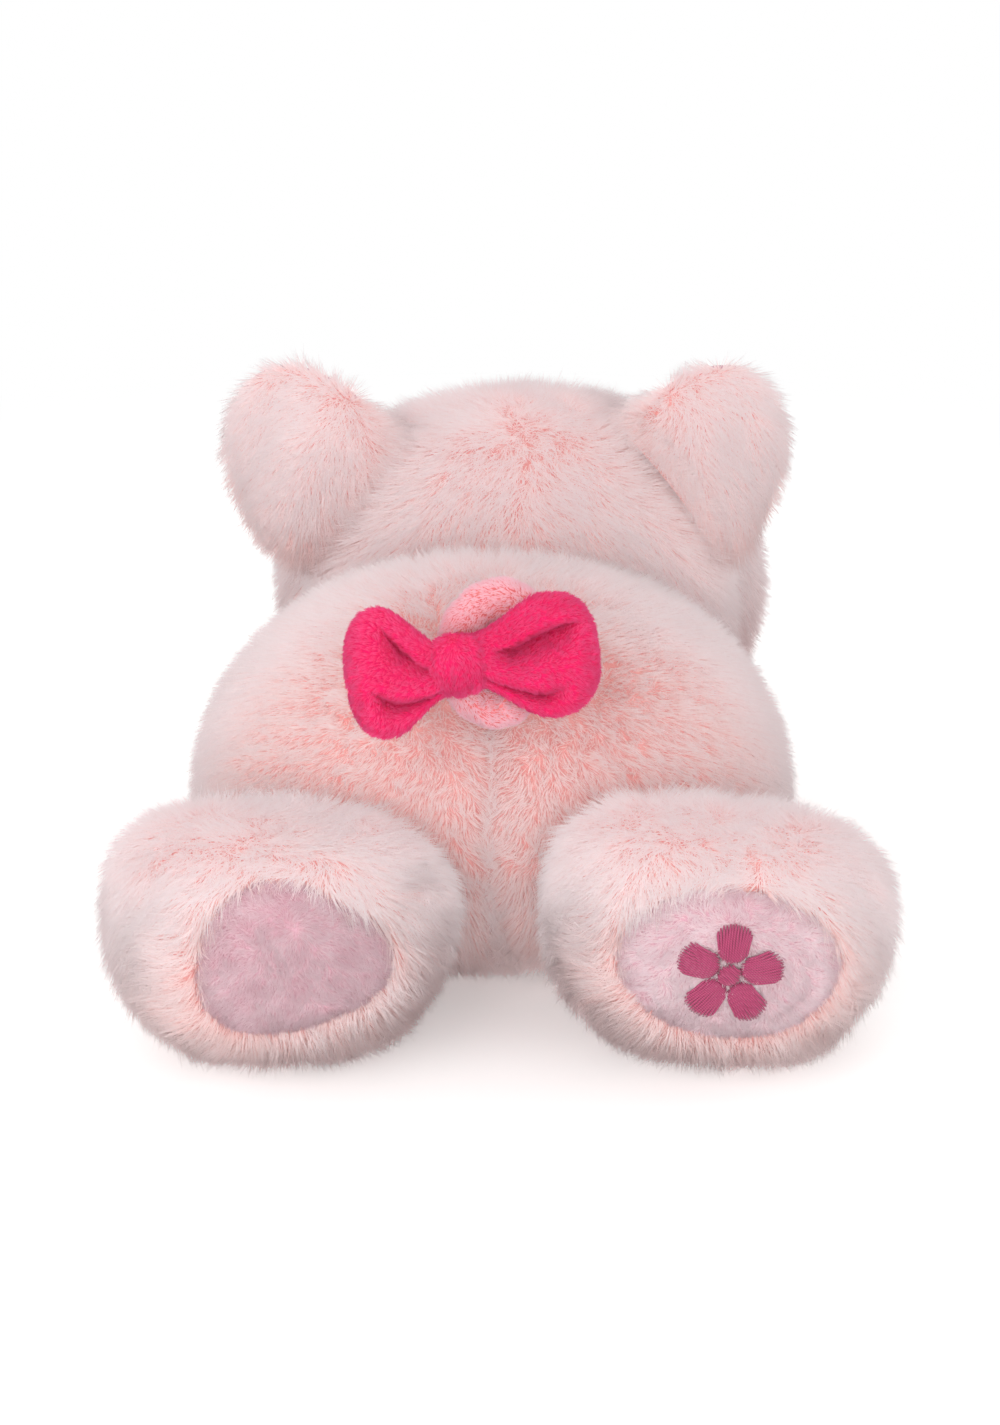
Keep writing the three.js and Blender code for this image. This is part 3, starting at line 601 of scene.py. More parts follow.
floor_mix = floor_nodes.add("ShaderNodeMixShader")
floor_nodes.link(floor_path.outputs["Is Camera Ray"], floor_mix.inputs["Fac"])
floor_nodes.link(floor_nodes.shader.outputs[0], floor_mix.inputs[1])
floor_nodes.link(fade.outputs[0], floor_mix.inputs[2])
floor_nodes.link(floor_mix.outputs[0], floor_nodes.tree.nodes["Material Output"].inputs["Surface"])
floor_points = FLOOR_HALF * np.array(((-1, -1, 0), (1, -1, 0), (1, 1, 0), (-1, 1, 0)), float)
floor = mesh_piece("floor", floor_points, [(0, 1, 2, 3)], floor_nodes.material)


# Body


def down_inset(d, inset):
    """How far the backing lies under the pile's reach: less where the weight presses it flat."""
    return -inset + 0.6 * inset * step(-d[:, 2], 0.55, 0.95)


def skin(form, columns, rows, inset, pole=2):
    d, faces = ball_grid(columns, rows, pole)
    world_d = d @ form.axes
    points = form.world(d * (form.radius(d) + down_inset(world_d, inset))[:, None])
    return points, faces


def shift_of(points, before):
    return np.linalg.norm(points - before, axis=1)


def parting_place(z):
    """Where the pile parts down the middle of the rump, at a height."""
    return -3 + 0.07 * (110 - z) + 1.6 * np.sin(z / 11)


# Deeper, warmer pile on faces that turn down: painted shade under the forms.
def under_shade_tint(normals):
    return 0.7 * step(-normals[:, 2], -0.25, 0.6)


def crease_shade_tint(roots, forms, reach=6.0):
    """Warmer, deeper pile in the creases, where one stuffed form meets another: painted shade."""
    near = [np.exp(-np.maximum(form.clearance(roots) + 6, 0) / reach) for form in forms]
    return 0.8 * np.max(near, axis=0)


def make_body():
    plain, faces = skin(BODY, 96, 64, 8)
    clear = HEAD.pushed(plain, HEAD_ROOM)
    seam = np.exp(-(((plain[:, 0] - parting_place(plain[:, 2])) / 7) ** 2))
    seam *= step(-plain[:, 1], 0, 30) * step(plain[:, 2], 8, 30)
    points = clear - 3 * seam[:, None] * point_normals(clear, triangles_of(faces))
    dress("body_skin", points, faces, plush_backing, "body", ("body_cover", "body_filling"))
    rng = np.random.default_rng(11)
    hidden = shift_of(clear, plain) > 3
    for form in FEET.values():
        hidden |= form.clearance(plain) < -14
    for form in PAWS.values():
        hidden |= form.clearance(plain) < -6
    density = 2.2
    roots, up = scatter(points, faces, density, rng, np.where(hidden, 0.0, 1.0))
    x, y, z = roots.T
    rump = step(-up[:, 1], 0.15, 0.55) * step(z, 25, 60)
    comb = np.stack((0.45 * np.sign(x) * step(np.abs(x), 15, 80), -0.6 + 0 * y, -0.75 + 0 * z), 1)
    off = x - parting_place(z)
    parting = np.exp(-((off / 11) ** 2)) * step(-y, 10, 40)
    comb[:, 0] -= 1.1 * np.tanh(off / 3) * parting
    comb += 0.25 * waves(roots, 40, 1) + (0.15 + 0.4 * rump)[:, None] * waves(roots, 9, 2)
    lean = 46 - 15 * rump
    length = 12 - 4.5 * rump
    # The pile's tint deepens on faces that turn down and in the creases by the head and feet: painted shade.
    tint = 0.16 + 0.4 * rump + under_shade_tint(up) + crease_shade_tint(roots, (HEAD, *FEET.values()))
    fur("body_fur", "body", plush_pile, roots, up, comb, 12, length, STRAND, lean, tint,
        density, tuft_mm2=5.0, gather=0.3)


def make_head():
    points, faces = skin(HEAD, 96, 64, 8)
    dress("head_skin", points, faces, plush_backing, "head", ("head_cover", "head_filling"))
    rng = np.random.default_rng(21)
    hidden = BODY.clearance(points) < -16
    under_snout = np.hypot((points[:, 0] - SNOUT_X) / 27, (points[:, 2] - SNOUT_Z) / 20) < 1
    hidden |= under_snout & (points[:, 1] > 120)
    for side in SIDES:
        way = eye_way(side)
        spot = HEAD.middle + way * (HEAD.radius(way[None])[0] - 8)
        hidden |= np.linalg.norm(points - spot, axis=1) < 6
    density = 2.0
    roots, up = scatter(points, faces, density, rng, np.where(hidden, 0.0, 1.0))
    x, y = (roots - HEAD.middle).T[:2]
    comb = np.stack((0.3 * np.tanh(x / 45), -0.45 - 0.9 * step(y, -10, 60), -0.75 + 0.75 * step(y, 10, 60)), 1)
    comb += 0.22 * waves(roots, 40, 3) + 0.15 * waves(roots, 14, 4)
    near = np.max([step(-ear[0].clearance(roots), -14, 0) for ear in EARS.values()], axis=0)
    # The pile's tint deepens on faces that turn down and in the creases by the body and ears: painted shade.
    tint = 0.16 + under_shade_tint(up) + crease_shade_tint(roots, (BODY, *(ear[0] for ear in EARS.values())))
    lean = 58 - 28 * near
    length = 13.5 + 2.5 * near
    fur("head_fur", "head", plush_pile, roots, up, comb, 22, length, STRAND, lean, tint,
        density, tuft_mm2=6.0, gather=0.3)


# Hind legs. Each sole: half its width and height, where its middle lies on the foot, and the size and turn of its
# three lobes. Its nap: the seed, the tint and the depth of the groove inside its rim
SOLES = {
    "left": ((30, 24.5), (3.5, -6.5), (0.075, 1.05)),
    "right": ((34, 25), (-3.5, -7), (0.02, 0.4)),
}
# The left sole's nap has a much deeper tint than the right's: painted shade on the left sole.
SOLE_NAPS = {"left": (41, 0.75, 0.0), "right": (44, 0.22, 1.4)}


def rim_share(x, z, half, lobes):
    """How far out a point of a pad lies, as a share of the way from its middle to its rim."""
    x, z = x / half[0], z / half[1]
    return np.hypot(x, z) / (1 + lobes[0] * np.cos(3 * (np.arctan2(z, x) - lobes[1])))


def sole_share(side, q):
    half, middle, lobes = SOLES[side]
    return rim_share(q[:, 0] - middle[0], q[:, 2] - middle[1], half, lobes)


def make_foot(side):
    form = FEET[side]
    s = SIDES[side]
    plain, faces = skin(form, 80, 56, FOOT_INSET, 1)
    hip = np.array((64.0 * s, -46, 46))
    points = cleared(plain, BODY, -5, hip, (1, 0, 0), HIND_LEG_LIFT)
    q = form.local(points)
    spread = sole_share(side, q)
    rear = q[:, 1] > 20
    dish = rear * step(-spread, -1.07, -0.99)
    q[:, 1] = np.where(rear, np.minimum(q[:, 1], FOOT_FLAT - 6 * dish), q[:, 1])
    moved = shift_of(points, plain)
    points = form.world(q)
    name = f"hind_leg_{side}"
    nodes = f"{name}_cover", f"{name}_filling"
    dress(f"{name}_skin", points, faces, plush_backing, name, nodes)
    rng = np.random.default_rng(31 + s)
    weight = (moved < 4) * step(spread + 10 * (q[:, 1] < 30), 0.98 + 0.012 * s, 1.03 + 0.012 * s)
    density = 2.2
    roots, up = scatter(points, faces, density, rng, weight)
    q = form.local(roots)
    way = up @ form.axes.T
    middle = SOLES[side][1]
    out = unit(np.stack((q[:, 0] - middle[0], 0 * q[:, 1], q[:, 2] - middle[1]), 1))
    back = step(way[:, 1], 0.1, 0.7)[:, None]
    high = step(out[:, 2], 0.1, 0.8)
    fall = 0.2 + 0.4 * step(out[:, 2], -0.4, 0.6)
    round_sole = 0.5 * (1 - 0.8 * high)[:, None] * out - np.outer(fall, (0, 0, 1))
    top = step(way[:, 2], -0.1, 0.6)[:, None]
    over = (1 - top) * np.array((0, 0.25, -0.8)) + top * np.array((0, 0.8, -0.45))
    comb = ((1 - back) * over + back * round_sole) @ form.axes
    comb += 0.25 * waves(roots, 36, 5 + s) + 0.16 * waves(roots, 13, 8 + s)
    rim = step(-sole_share(side, q), -1.16, -1.02) * step(q[:, 1], 28, 32)
    lean = 66 - 32 * rim
    length = 14 - 4.5 * rim
    # The pile's tint deepens on faces that turn down and in the crease by the body: painted shade.
    tint = 0.03 + under_shade_tint(up) + 0.5 * rim + crease_shade_tint(roots, (BODY,))
    fur(f"{name}_fur", name, plush_pile, roots, up, comb, 32 + s, length, STRAND, lean, tint,
        density, tuft_mm2=6.0, gather=0.3)


# Soles: short-pile pads let into the ends of the legs


def pad_grid(half, rings, columns, height, depth, lobes=(0.0, 0.0)):
    """A closed pad in x and z, that stands out along y. height gives y for a share of the way to the rim."""
    size, turn = lobes
    points = [(0, height(0.0), 0)]
    for i in range(1, rings + 3):
        share = min(1.0, i / rings)
        y = height(share) if i <= rings else -depth
        inner = 0.8 if i == rings + 2 else 1.0
        for j in range(columns):
            a = 2 * math.pi * j / columns
            r = share * inner * (1 + size * math.cos(3 * (a - turn)))
            points.append((half[0] * r * math.cos(a), y, half[1] * r * math.sin(a)))
    points.append((0, -depth, 0))
    return np.array(points, float), ring_faces(rings + 2, columns)


def face_of(form, x, z, inset):
    """How far out along y a form's face lies over points in x and z, set in by a depth."""
    low, high = np.zeros_like(x), np.full_like(x, 80.0)
    for _ in range(30):
        y = (low + high) / 2
        q = np.stack((x, y, z), 1)
        r = np.linalg.norm(q, axis=1)
        inside = r < form.radius(q / r[:, None]) - inset
        low, high = np.where(inside, y, low), np.where(inside, high, y)
    return low


def make_sole(name, form, half, middle, flat, inset, lobes, seed, tint=0.3, groove=0.0):
    """A pad on the face of a leg, about a middle in x and z. flat is the furthest that the leg's skin reaches."""

    def height(share):
        return 2.2 - 4.4 * share**5

    local, faces = pad_grid(half, 30, 84, height, 6, lobes)
    share = rim_share(local[:, 0], local[:, 2], half, lobes)
    ridge = np.exp(-(((share - 0.74) / 0.07) ** 2)) * step(-local[:, 0] / half[0], 0.2, 0.7)
    front = np.where(local[:, 1] > -2.6, 1.0, 0.0)
    local += (middle[0], 0, middle[1])
    local[:, 1] += np.minimum(face_of(form, local[:, 0], local[:, 2], inset), flat) + 3.5 - groove * ridge
    points = form.world(local)
    dress(f"{name}_sole_pad", points, faces, sole_backing, name, (f"{name}_sole",))
    rng = np.random.default_rng(seed)
    density = 5.0
    roots, up = scatter(points, faces, density, rng, front)
    q = form.local(roots) - (middle[0], 0, middle[1])
    comb = unit(q * (1, 0, 1) - (0, 0, 0.55 * half[1])) @ form.axes
    comb += 0.5 * waves(roots, 16, seed) + 0.4 * waves(roots, 6, seed + 1)
    rim = step(rim_share(q[:, 0], q[:, 2], half, lobes), 0.85, 1.0)
    tint = tint + 0.14 * waves(roots, 12, seed + 2)[:, 0] + 0.35 * rim
    fur(f"{name}_sole_nap", name, sole_pile, roots, up, comb, seed,
        length=3.9, width=FINE_STRAND, lean=52, tint=tint, per_mm2=density, tuft_mm2=4.0, gather=0.35, stray=0.5)


# Thread: tubes along given points


def tube_mesh(paths, radius, sides=6):
    """Tubes with pointed-in ends, one for each list of points, as one mesh."""
    points, faces = [], []
    for path in paths:
        path = np.array(path, float)
        way = unit(np.gradient(path, axis=0))
        side = unit(np.cross(way, (0.31, 0.87, 0.38)))
        up = np.cross(side, way)
        base = len(points)
        count = len(path)
        for i in range(count):
            r = radius * (0.55 if i in (0, count - 1) else 1.0)
            for j in range(sides):
                a = 2 * math.pi * j / sides
                points.append(path[i] + r * (math.cos(a) * side[i] + math.sin(a) * up[i]))
        for i in range(count - 1):
            for j in range(sides):
                k = (j + 1) % sides
                a, b = base + i * sides, base + (i + 1) * sides
                faces.append((a + j, a + k, b + k, b + j))
        faces.append(tuple(base + j for j in reversed(range(sides))))
        faces.append(tuple(base + (count - 1) * sides + j for j in range(sides)))
    return np.array(points), faces


def satin(half_along, half_across, pitch, rise, rng):
    """Stitches side by side over an oval, in the oval's own plane: along, across and up."""
    paths = []
    rows = int(half_across / pitch)
    for k in range(-rows, rows + 1):
        across = k * pitch
        reach = half_along * math.sqrt(max(0.05, 1 - (across / (half_across + 0.3)) ** 2)) + rng.uniform(-0.25, 0.25)
        crown = rise * math.sqrt(max(0.1, 1 - (across / (half_across + 0.6)) ** 2))
        t = np.linspace(-1, 1, 9)
        paths.append(np.stack((reach * t, across + 0.12 * np.sin(3 * t + k), crown * np.sqrt(1.02 - t * t)), 1))
    return paths


def make_flower():
    form = FEET["right"]
    rng = np.random.default_rng(71)
    x, z = SOLES["right"][1]
    middle = np.array((x, 45.2, z))
    paths = []
    for petal in range(5):
        a = 2 * math.pi * petal / 5
        out = np.array((math.sin(a), 0, math.cos(a)))
        aside = np.array((math.cos(a), 0, -math.sin(a)))
        for path in satin(7.2, 5.6, 0.8, 1.7, rng):
            along, across, up = path.T
            place = middle + (10.4 + along)[:, None] * out + (across * (1 + 0.03 * along))[:, None] * aside
            paths.append(form.world(place + up[:, None] * np.array((0, 1, 0))))
    for path in satin(3.6, 3.6, 0.8, 2.0, rng):
        along, across, up = path.T
        place = middle + along[:, None] * np.array((0.8, 0, 0.6)) + across[:, None] * np.array((-0.6, 0, 0.8))
        paths.append(form.world(place + (up + 0.3)[:, None] * np.array((0, 1, 0))))
    points, faces = tube_mesh(paths, 0.5)
    dress("sole_flower_stitches", points, faces, flower_thread, "hind_leg_right", ("sole_flower",))


# Front legs


def make_paw(side):
    form = PAWS[side]
    s = SIDES[side]
    name = f"front_leg_{side}"
    plain, faces = skin(form, 56, 44, PAW_INSET, 1)
    shoulder = np.array((80.0 * s, 32, 29.5))
    points = cleared(plain, BODY, -5, shoulder, (0, 0, 1), [-s * splay for splay in FRONT_LEG_SPLAY])
    points = cleared(points, HEAD, -HEAD_ROOM, HEAD.middle, (0, 0, 1), HEAD_TURN)
    points[:, 2] = np.maximum(points[:, 2], 3)
    moved = shift_of(points, plain)
    q = form.local(points)
    spread = np.hypot((q[:, 0] - 3 * s) / 11, (q[:, 2] + 3) / 9)
    ahead = q[:, 1] > 15
    q[:, 1] = np.where(ahead, np.minimum(q[:, 1], 34 - 3 * step(-spread, -1.15, -0.95)), q[:, 1])
    points = form.world(q)
    nodes = f"{name}_cover", f"{name}_filling"
    dress(f"{name}_skin", points, faces, plush_backing, name, nodes)
    rng = np.random.default_rng(51 + s)
    weight = (moved < 4) * step(spread + 10 * ~ahead, 0.8, 1.0)
    density = 2.2
    roots, up = scatter(points, faces, density, rng, weight)
    comb = np.tile((0.12 * s, 0.8, -0.4), (len(roots), 1))
    comb += 0.4 * waves(roots, 30, 15 + s) + 0.25 * waves(roots, 12, 18 + s)
    # The pile's tint deepens on faces that turn down: painted shade.
    tint = 0.17 + under_shade_tint(up)
    fur(f"{name}_fur", name, plush_pile, roots, up, comb, 52 + s,
        length=9.5, width=STRAND, lean=48, tint=tint, per_mm2=density, tuft_mm2=6.0, gather=0.3)
    make_sole(name, form, (11, 9), (3.0 * s, -3), flat=32, inset=PAW_INSET, lobes=(0.03, 0.5), seed=55 + s)


# Ears: a long-pile back and a short-pile lining, sewn together round the rim


def make_ear(side):
    form, seat, across = EARS[side]
    s = SIDES[side]
    body = f"ear_{side}"
    d, faces = ball_grid(64, 40)
    for half, keep, inset in (("back", 1, 3.5), ("lining", -1, 2.0)):
        q = d * (form.radius(d) - inset)[:, None]
        flat = keep * (q[:, 2] + 2) < 0.15
        q[:, 2] = np.where(flat, -2 + 0.15 * keep, q[:, 2])
        if keep < 0:
            hollow = step(-np.hypot(q[:, 0] / 30, q[:, 1] / 24), -1, -0.2)
            q[:, 2] += np.where(flat, 0, 1.6 * hollow)
        plain = form.world(q)
        points = cleared(plain, HEAD, -5, seat, across, EAR_FOLD)
        moved = shift_of(points, plain)
        material = plush_backing if keep > 0 else sole_backing
        dress(f"{body}_{half}_skin", points, faces, material, body, (f"{body}_{half}",))
        rng = np.random.default_rng(61 + s + 5 * keep)
        weight = (moved < (9 if keep > 0 else 3)) * ~flat * 1.0
        density = 3.2 if keep > 0 else 4.0
        roots, up = scatter(points, faces, density, rng, weight)
        near = step(-HEAD.clearance(roots), -20, 0)
        comb = np.outer(1 - near, (0.4 * s, -0.55, -0.6)) + np.outer(near, (-0.1 * s, -0.4, -0.85))
        comb += 0.2 * waves(roots, 26, 25 + s) + 0.15 * waves(roots, 11, 28 + s)
        if keep > 0:
            lean = 58 - 24 * near
            length = 10 + 4 * near
            # The pile's tint deepens towards the head, on faces that turn down and in the crease by the head: painted
            # shade.
            tint = 0.12 + 0.15 * near + under_shade_tint(up) + crease_shade_tint(roots, (HEAD,))
            fur(f"{body}_fur", body, plush_pile, roots, up, comb, 62 + s, length, FINE_STRAND, lean, tint,
                density, tuft_mm2=6.0, gather=0.28)
        else:
            fur(f"{body}_nap", body, sole_pile, roots, up, comb, 65 + s,
                length=2.4, width=FINE_STRAND, lean=48, tint=0.45, per_mm2=density, tuft_mm2=3.0, gather=0.4, stray=0.5)


# Tail


def tail_points(t):
    root = np.array((0, -44.085, 125.531))
    start_way = np.array((0, -0.485, 0.875))
    out = np.array((0, -math.cos(math.radians(17)), math.sin(math.radians(17))))
    up = np.array((0, math.sin(math.radians(17)), math.cos(math.radians(17))))
    middle = root + 17 * start_way - 11 * up
    angle = 2 * math.pi * 1.58 * t
    coil = middle + np.outer(18.5 * 1.58 * t, out) + np.outer(11 * np.cos(angle), up)
    coil[:, 0] -= 11 * np.sin(angle)
    coil[:, 2] -= 15 * step(t, 0.5, 1)
    lead = root + np.outer(17 * np.minimum(1, t / 0.4), start_way)
    share = step(t, 0, 0.4)[:, None]
    return lead * (1 - share) + coil * share


def make_tail():
    count, sides, radius = 120, 24, 6.9
    path = tail_points(np.linspace(0, 1, count))
    way = unit(np.gradient(path, axis=0))
    side = np.array((1.0, 0, 0))
    cap = np.linspace(0, math.pi / 2, 7)
    rings = [(path[0] - way[0] * radius * math.cos(a), way[0], radius * math.sin(a)) for a in cap[1:-1]]
    rings += [(path[i], way[i], radius * (1 + 0.03 * math.sin(0.9 * i))) for i in range(count)]
    rings += [(path[-1] + way[-1] * radius * math.sin(a), way[-1], radius * math.cos(a)) for a in cap[1:-1]]
    points = [path[0] - way[0] * radius]
    for place, along, r in rings:
        side = unit(side - (side @ along) * along)
        up = np.cross(along, side)
        for j in range(sides):
            a = 2 * math.pi * j / sides
            points.append(place + r * (math.cos(a) * side + math.sin(a) * up))
    points.append(path[-1] + way[-1] * radius)
    points, faces = np.array(points), ring_faces(len(rings), sides)
    dress("tail_skin", points, faces, salmon_backing, "tail", ("tail_cover", "tail_filling"))
    rng = np.random.default_rng(81)
    density = 5.0
    weight = np.where(BODY.clearance(points) < -5, 0.0, 1.0)
    roots, up = scatter(points, faces, density, rng, weight)
    nearest = np.argmin(((roots[:, None] - path[None, ::4]) ** 2).sum(2), axis=1) * 4
    comb = way[nearest] + 0.35 * waves(roots, 9, 82)
    tint = 0.4 + 0.15 * waves(roots, 14, 83)[:, 0]
    fur("tail_nap", "tail", salmon_pile, roots, up, comb, 84,
        length=2.0, width=FINE_STRAND, lean=55, tint=tint, per_mm2=density, tuft_mm2=2.5, gather=0.4, stray=0.4)


# Bow

BOW_MIDDLE = np.array((-10.808, -93.63, 130.1))
BOW_AXES = (turn_matrix((1, 0, 0), -20) @ turn_matrix((0, 1, 0), -7)).T


def bow_world(local):
    return local @ BOW_AXES + BOW_MIDDLE


def bow_cloth(name, node, points, faces, seed, comb, deep):
    """A piece of the bow. comb gives the way its nap lies at the roots, deep how far into a fold they are; the nap's
    tint deepens there as painted shade.
    """
    dress(name, points, faces, bow_backing, "bow", (node,))
    rng = np.random.default_rng(seed)
    density = 4.5
    roots, up = scatter(points, faces, density, rng)
    q = (roots - BOW_MIDDLE) @ BOW_AXES.T
    way = comb(q) @ BOW_AXES + 0.25 * waves(roots, 10, seed + 1) + 0.2 * waves(roots, 4, seed + 2)
    # deep(q) deepens the nap's tint in the folds and at the band's ends: painted shade.
    tint = 0.35 + 0.16 * waves(roots, 12, seed + 3)[:, 0] + 0.6 * deep(q)
    fur(f"{name}_nap", "bow", bow_pile, roots, up, way, seed,
        length=2.4, width=STRAND, lean=60, tint=tint, per_mm2=density, tuft_mm2=3.0, gather=0.5, stray=0.3)


# Each fold: its height at the band and at its end, its depth, how far it opens above and below, where it starts and
# where it fades out
LOOP_FOLDS = {
    "left": ((0.02, 1.1, 1.0, 0.07, 0.42, 0.08, 0.42), (-0.75, -0.17, 1.0, 0.06, 0.3, 0.04, 0.55)),
    "right": ((0.2, 0.62, 1.05, 0.06, 0.4, 0.2, 0.72), (-0.55, -0.6, 1.0, 0.06, 0.28, 0.06, 0.52)),
}
LOOP_REACH = {"left": 37, "right": 46}
LOOP_SPREAD = {"left": 12.5, "right": 11.5}
LOOP_ROOT = 4


def loop_size(side, t):
    """Half the height and the depth of a loop, at a share of the way from the band to its end."""
    ends = (1 - np.clip((t - 0.62) / 0.38, 0, 1) ** 2.6) ** (1 / 2.2)
    return (8 + LOOP_SPREAD[side] * step(t, 0, 0.62)) * ends, (6 + 5 * step(t, 0, 0.5)) * ends


def loop_fold(side, t, v):
    """How far the pleats are pressed in, and how far their lips hang over, both from 0 to 1."""
    fold, lip = np.zeros_like(v), np.zeros_like(v)
    for v0, v1, size, above, below, start, fade in LOOP_FOLDS[side]:
        d = v - (v0 + (v1 - v0) * t)
        here = size * step(t, start - 0.05, start + 0.15) * (1 - step(t, fade, fade + 0.26))
        fold += here * np.exp(-((d / np.where(d > 0, above, below)) ** 2))
        lip += here * np.exp(-(((d - 0.1) / 0.1) ** 2))
    return np.minimum(fold, 1.1), np.minimum(lip, 1)


def make_loop(side):
    s = SIDES[side]
    rows, columns = 64, 168
    length = LOOP_REACH[side] - LOOP_ROOT - 1
    t, a = np.meshgrid(np.linspace(0, 1, rows + 1), np.linspace(0, 2 * math.pi, columns, False), indexing="ij")
    t, a = t.ravel(), a.ravel()
    v, near = np.sin(a), np.cos(a)
    high, deep = loop_size(side, t)
    fold, lip = loop_fold(side, t, v)
    roll = 1 + 0.12 * np.exp(-(((t - 0.82) / 0.12) ** 2)) - 0.2 * np.exp(-(((t - 0.45) / 0.25) ** 2))
    front = near > 0
    y = -deep * near * np.where(front, roll - fold + 0.12 * lip, 0.72 - 0.3 * np.minimum(1, fold))
    z = high * v - 1.8 * lip * front * np.abs(near) + 1.1 * np.sin(5 * t + 2 * s) * (1 - t)
    points = bow_world(np.stack((s * (LOOP_ROOT + length * t), y, z), 1))
    faces = []
    for i in range(rows):
        for j in range(columns):
            k = (j + 1) % columns
            near_row, far_row = i * columns, (i + 1) * columns
            faces.append((near_row + j, far_row + j, far_row + k, near_row + k)[::s])
    faces.append(tuple(range(columns))[::s])
    faces.append(tuple(range(rows * columns, (rows + 1) * columns))[::-s])

    def comb(q):
        return np.stack((s + 0 * q[:, 0], 0 * q[:, 1], 0.018 * q[:, 2] - 0.25), 1)

    # How far into the loop's folds a point lies, which deepens the nap's tint there: painted shade in the folds.
    def pleat_shade(q):
        t = np.clip((s * q[:, 0] - LOOP_ROOT) / length, 0, 1)
        v = np.clip(q[:, 2] / np.maximum(loop_size(side, t)[0], 1), -1, 1)
        return loop_fold(side, t, v)[0] * (q[:, 1] < 3)

    bow_cloth(f"bow_loop_{side}_cloth", f"bow_loop_{side}", points, faces, 91 + 5 * s, comb, pleat_shade)


def make_band():
    d, faces = ball_grid(64, 44)
    crease = 0.05 * np.exp(-(((d[:, 0] - 0.25) / 0.15) ** 2)) + 0.04 * np.exp(-(((d[:, 0] + 0.35) / 0.15) ** 2))
    size = (np.abs(d[:, 0] / 9) ** 2.6 + np.hypot(d[:, 1] / 10.4, d[:, 2] / 9.8) ** 2.6) ** (-1 / 2.6)
    points = bow_world(d * (size * (1 - crease * np.hypot(d[:, 1], d[:, 2])))[:, None])

    def comb(q):
        return np.tile((0.1, 0, -1.0), (len(q), 1))

    # The band's ends, where the loops meet it, get a deeper tint: painted shade.
    def edge(q):
        return 0.6 * step(np.abs(q[:, 0]), 6, 9)

    bow_cloth("bow_band_cloth", "bow_band", points, faces, 101, comb, edge)


# Face


def make_snout():
    profile = [(0.0, 187.0), (0.3, 187.2), (0.6, 187.0), (0.8, 186.4), (0.9, 185.4), (0.965, 183.4), (1.0, 180.5)]
    profile += [(1.0, y) for y in np.linspace(176, 136, 9)]
    columns = 72
    points = [(SNOUT_X, 186.6, SNOUT_Z)]
    for share, y in profile[1:]:
        swell = 1 + 0.03 * math.sin(math.pi * (y - 136) / 48)
        for j in range(columns):
            a = 2 * math.pi * j / columns
            x = SNOUT_X + 29.5 * share * swell * math.cos(a)
            points.append((x, y - 1.5, SNOUT_Z + 22.5 * share * swell * math.sin(a)))
    points.append((SNOUT_X, 134.5, SNOUT_Z))
    points, faces = np.array(points, float), ring_faces(len(profile) - 1, columns)
    nodes = "snout_cover", "snout_filling"
    dress("snout_skin", points, faces, salmon_backing, "head", nodes)
    rng = np.random.default_rng(111)
    density = 4.0
    hidden = HEAD.clearance(points) < -6
    roots, up = scatter(points, faces, density, rng, np.where(hidden, 0.0, 1.0))
    comb = np.tile((0.0, 0.4, -1.0), (len(roots), 1)) + 0.5 * waves(roots, 14, 112)
    tint = 0.35 + 0.12 * waves(roots, 18, 113)[:, 0]
    fur("snout_nap", "head", salmon_pile, roots, up, comb, 114,
        length=2.0, width=FINE_STRAND, lean=52, tint=tint, per_mm2=density, tuft_mm2=2.5, gather=0.4, stray=0.5)
    for side, s in SIDES.items():
        paths = []
        for path in satin(4.5, 7.0, 0.62, 1.1, rng):
            along, across, rise = path.T
            paths.append(np.stack((SNOUT_X + 11 * s + along, 187.2 + rise, SNOUT_Z + across), 1))
        points, faces = tube_mesh(paths, 0.42)
        dress(f"nostril_{side}_stitches", points, faces, nostril_thread, "head", (f"nostril_{side}",))


def make_eye(side):
    way = eye_way(side)
    seat = HEAD.middle + way * (HEAD.radius(way[None])[0] - 3.7)
    across = unit(np.cross(way, (0, 0, 1)))
    up = np.cross(across, way)
    profile = [(5.6, -1.2), (6.7, -0.9), (7.0, 0.0)]
    profile += [(7 * math.cos(a), 5 * math.sin(a)) for a in np.linspace(0.12, math.pi / 2 - 0.1, 12)]
    columns = 48
    points, faces = [seat - 1.2 * way], []
    for r, h in profile:
        for j in range(columns):
            a = 2 * math.pi * j / columns
            points.append(seat + h * way + r * (math.cos(a) * across + math.sin(a) * up))
    points.append(seat + 5 * way)
    last = len(points) - 1
    for j in range(columns):
        k = (j + 1) % columns
        faces.append((0, 1 + j, 1 + k))
        faces.append((last, last - columns + k, last - columns + j))
    for i in range(len(profile) - 1):
        a, b = 1 + i * columns, 1 + (i + 1) * columns
        for j in range(columns):
            k = (j + 1) % columns
            faces.append((a + k, a + j, b + j, b + k))
    dress(f"eye_{side}_dome", np.array(points), faces, eye_plastic, "head", (f"eye_{side}",))


# Neck seam: a band of plush with overcast stitches. It reaches under the body's edge, and comes out when the head
# turns


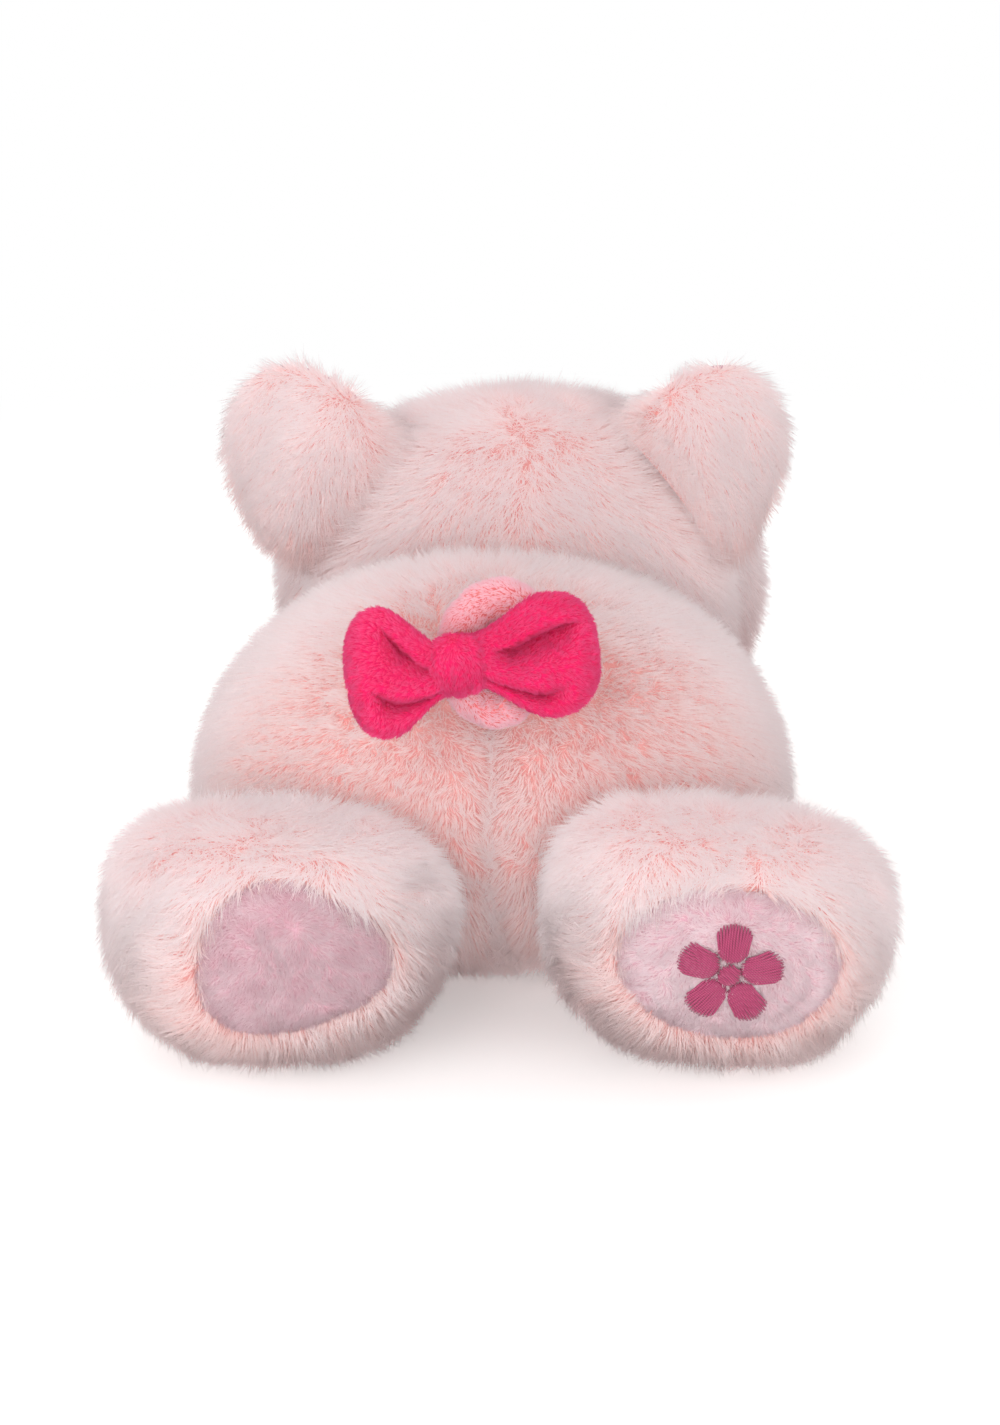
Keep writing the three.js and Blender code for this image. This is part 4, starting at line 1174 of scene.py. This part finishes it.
def make_neck_seam():
    axis = unit(BODY.middle - HEAD.middle)
    across = unit(np.cross(axis, (0, 0, 1)))
    up = np.cross(across, axis)
    columns = 160

    def ring_point(a, radius, degrees):
        t = math.radians(degrees)
        ring = math.cos(a) * across + math.sin(a) * up
        return HEAD.middle + radius * (math.cos(t) * axis + math.sin(t) * ring)

    section = [(84.4, 28.3), (85.3, 28.1), (85.4, 33), (85.4, 38), (85.5, 43.5), (86.0, 45.5)]
    section += [(85.7, 47), (86.0, 48.5), (85.5, 49.9), (84.4, 49.7), (84.2, 47), (84.2, 38)]
    points, faces = [], []
    for i in range(columns):
        a = 2 * math.pi * i / columns
        pucker = 0.25 * math.sin(40 * a)
        points += [ring_point(a, r + pucker * (r > 85), g) for r, g in section]
    size = len(section)
    for i in range(columns):
        a, b = i * size, ((i + 1) % columns) * size
        for j in range(size):
            k = (j + 1) % size
            faces.append((a + j, a + k, b + k, b + j))
    points = np.array(points)
    dress("neck_seam_tape", points, faces, plush_backing, "neck", ("neck_seam",))
    rng = np.random.default_rng(121)
    density = 2.5
    roots, normals = scatter(points, faces, density, rng)
    outer = ((roots - HEAD.middle) * normals).sum(axis=1) > 0
    roots, normals = roots[outer], normals[outer]
    comb = np.tile((0, -0.8, -0.3), (len(roots), 1)) + 0.5 * waves(roots, 20, 122)
    fur("neck_seam_fur", "neck", plush_pile, roots, normals, comb, 123,
        length=11, width=STRAND, lean=16, tint=0.3, per_mm2=density, tuft_mm2=6.0, gather=0.3)
    paths = []
    stitches = 80
    for i in range(stitches):
        a = 2 * math.pi * i / stitches
        paths.append([ring_point(a + 0.012 * k, 86.1 + 0.15 * math.sin(k), 44.6 + 1.2 * k) for k in range(5)])
    points, faces = tube_mesh(paths, 0.3)
    dress("neck_seam_stitches", points, faces, seam_thread, "neck")


make_body()
make_head()
make_neck_seam()
make_snout()
make_tail()
make_band()
for side in SIDES:
    make_foot(side)
    make_paw(side)
    make_ear(side)
    make_eye(side)
    make_loop(side)
for side, (half, middle, lobes) in SOLES.items():
    make_sole(f"hind_leg_{side}", FEET[side], half, middle, FOOT_FLAT, FOOT_INSET, lobes, *SOLE_NAPS[side])
make_flower()

for node in ("eye_washer_left", "eye_washer_right"):
    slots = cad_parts[node].data.materials
    slots.clear()
    slots.append(washer_plastic)
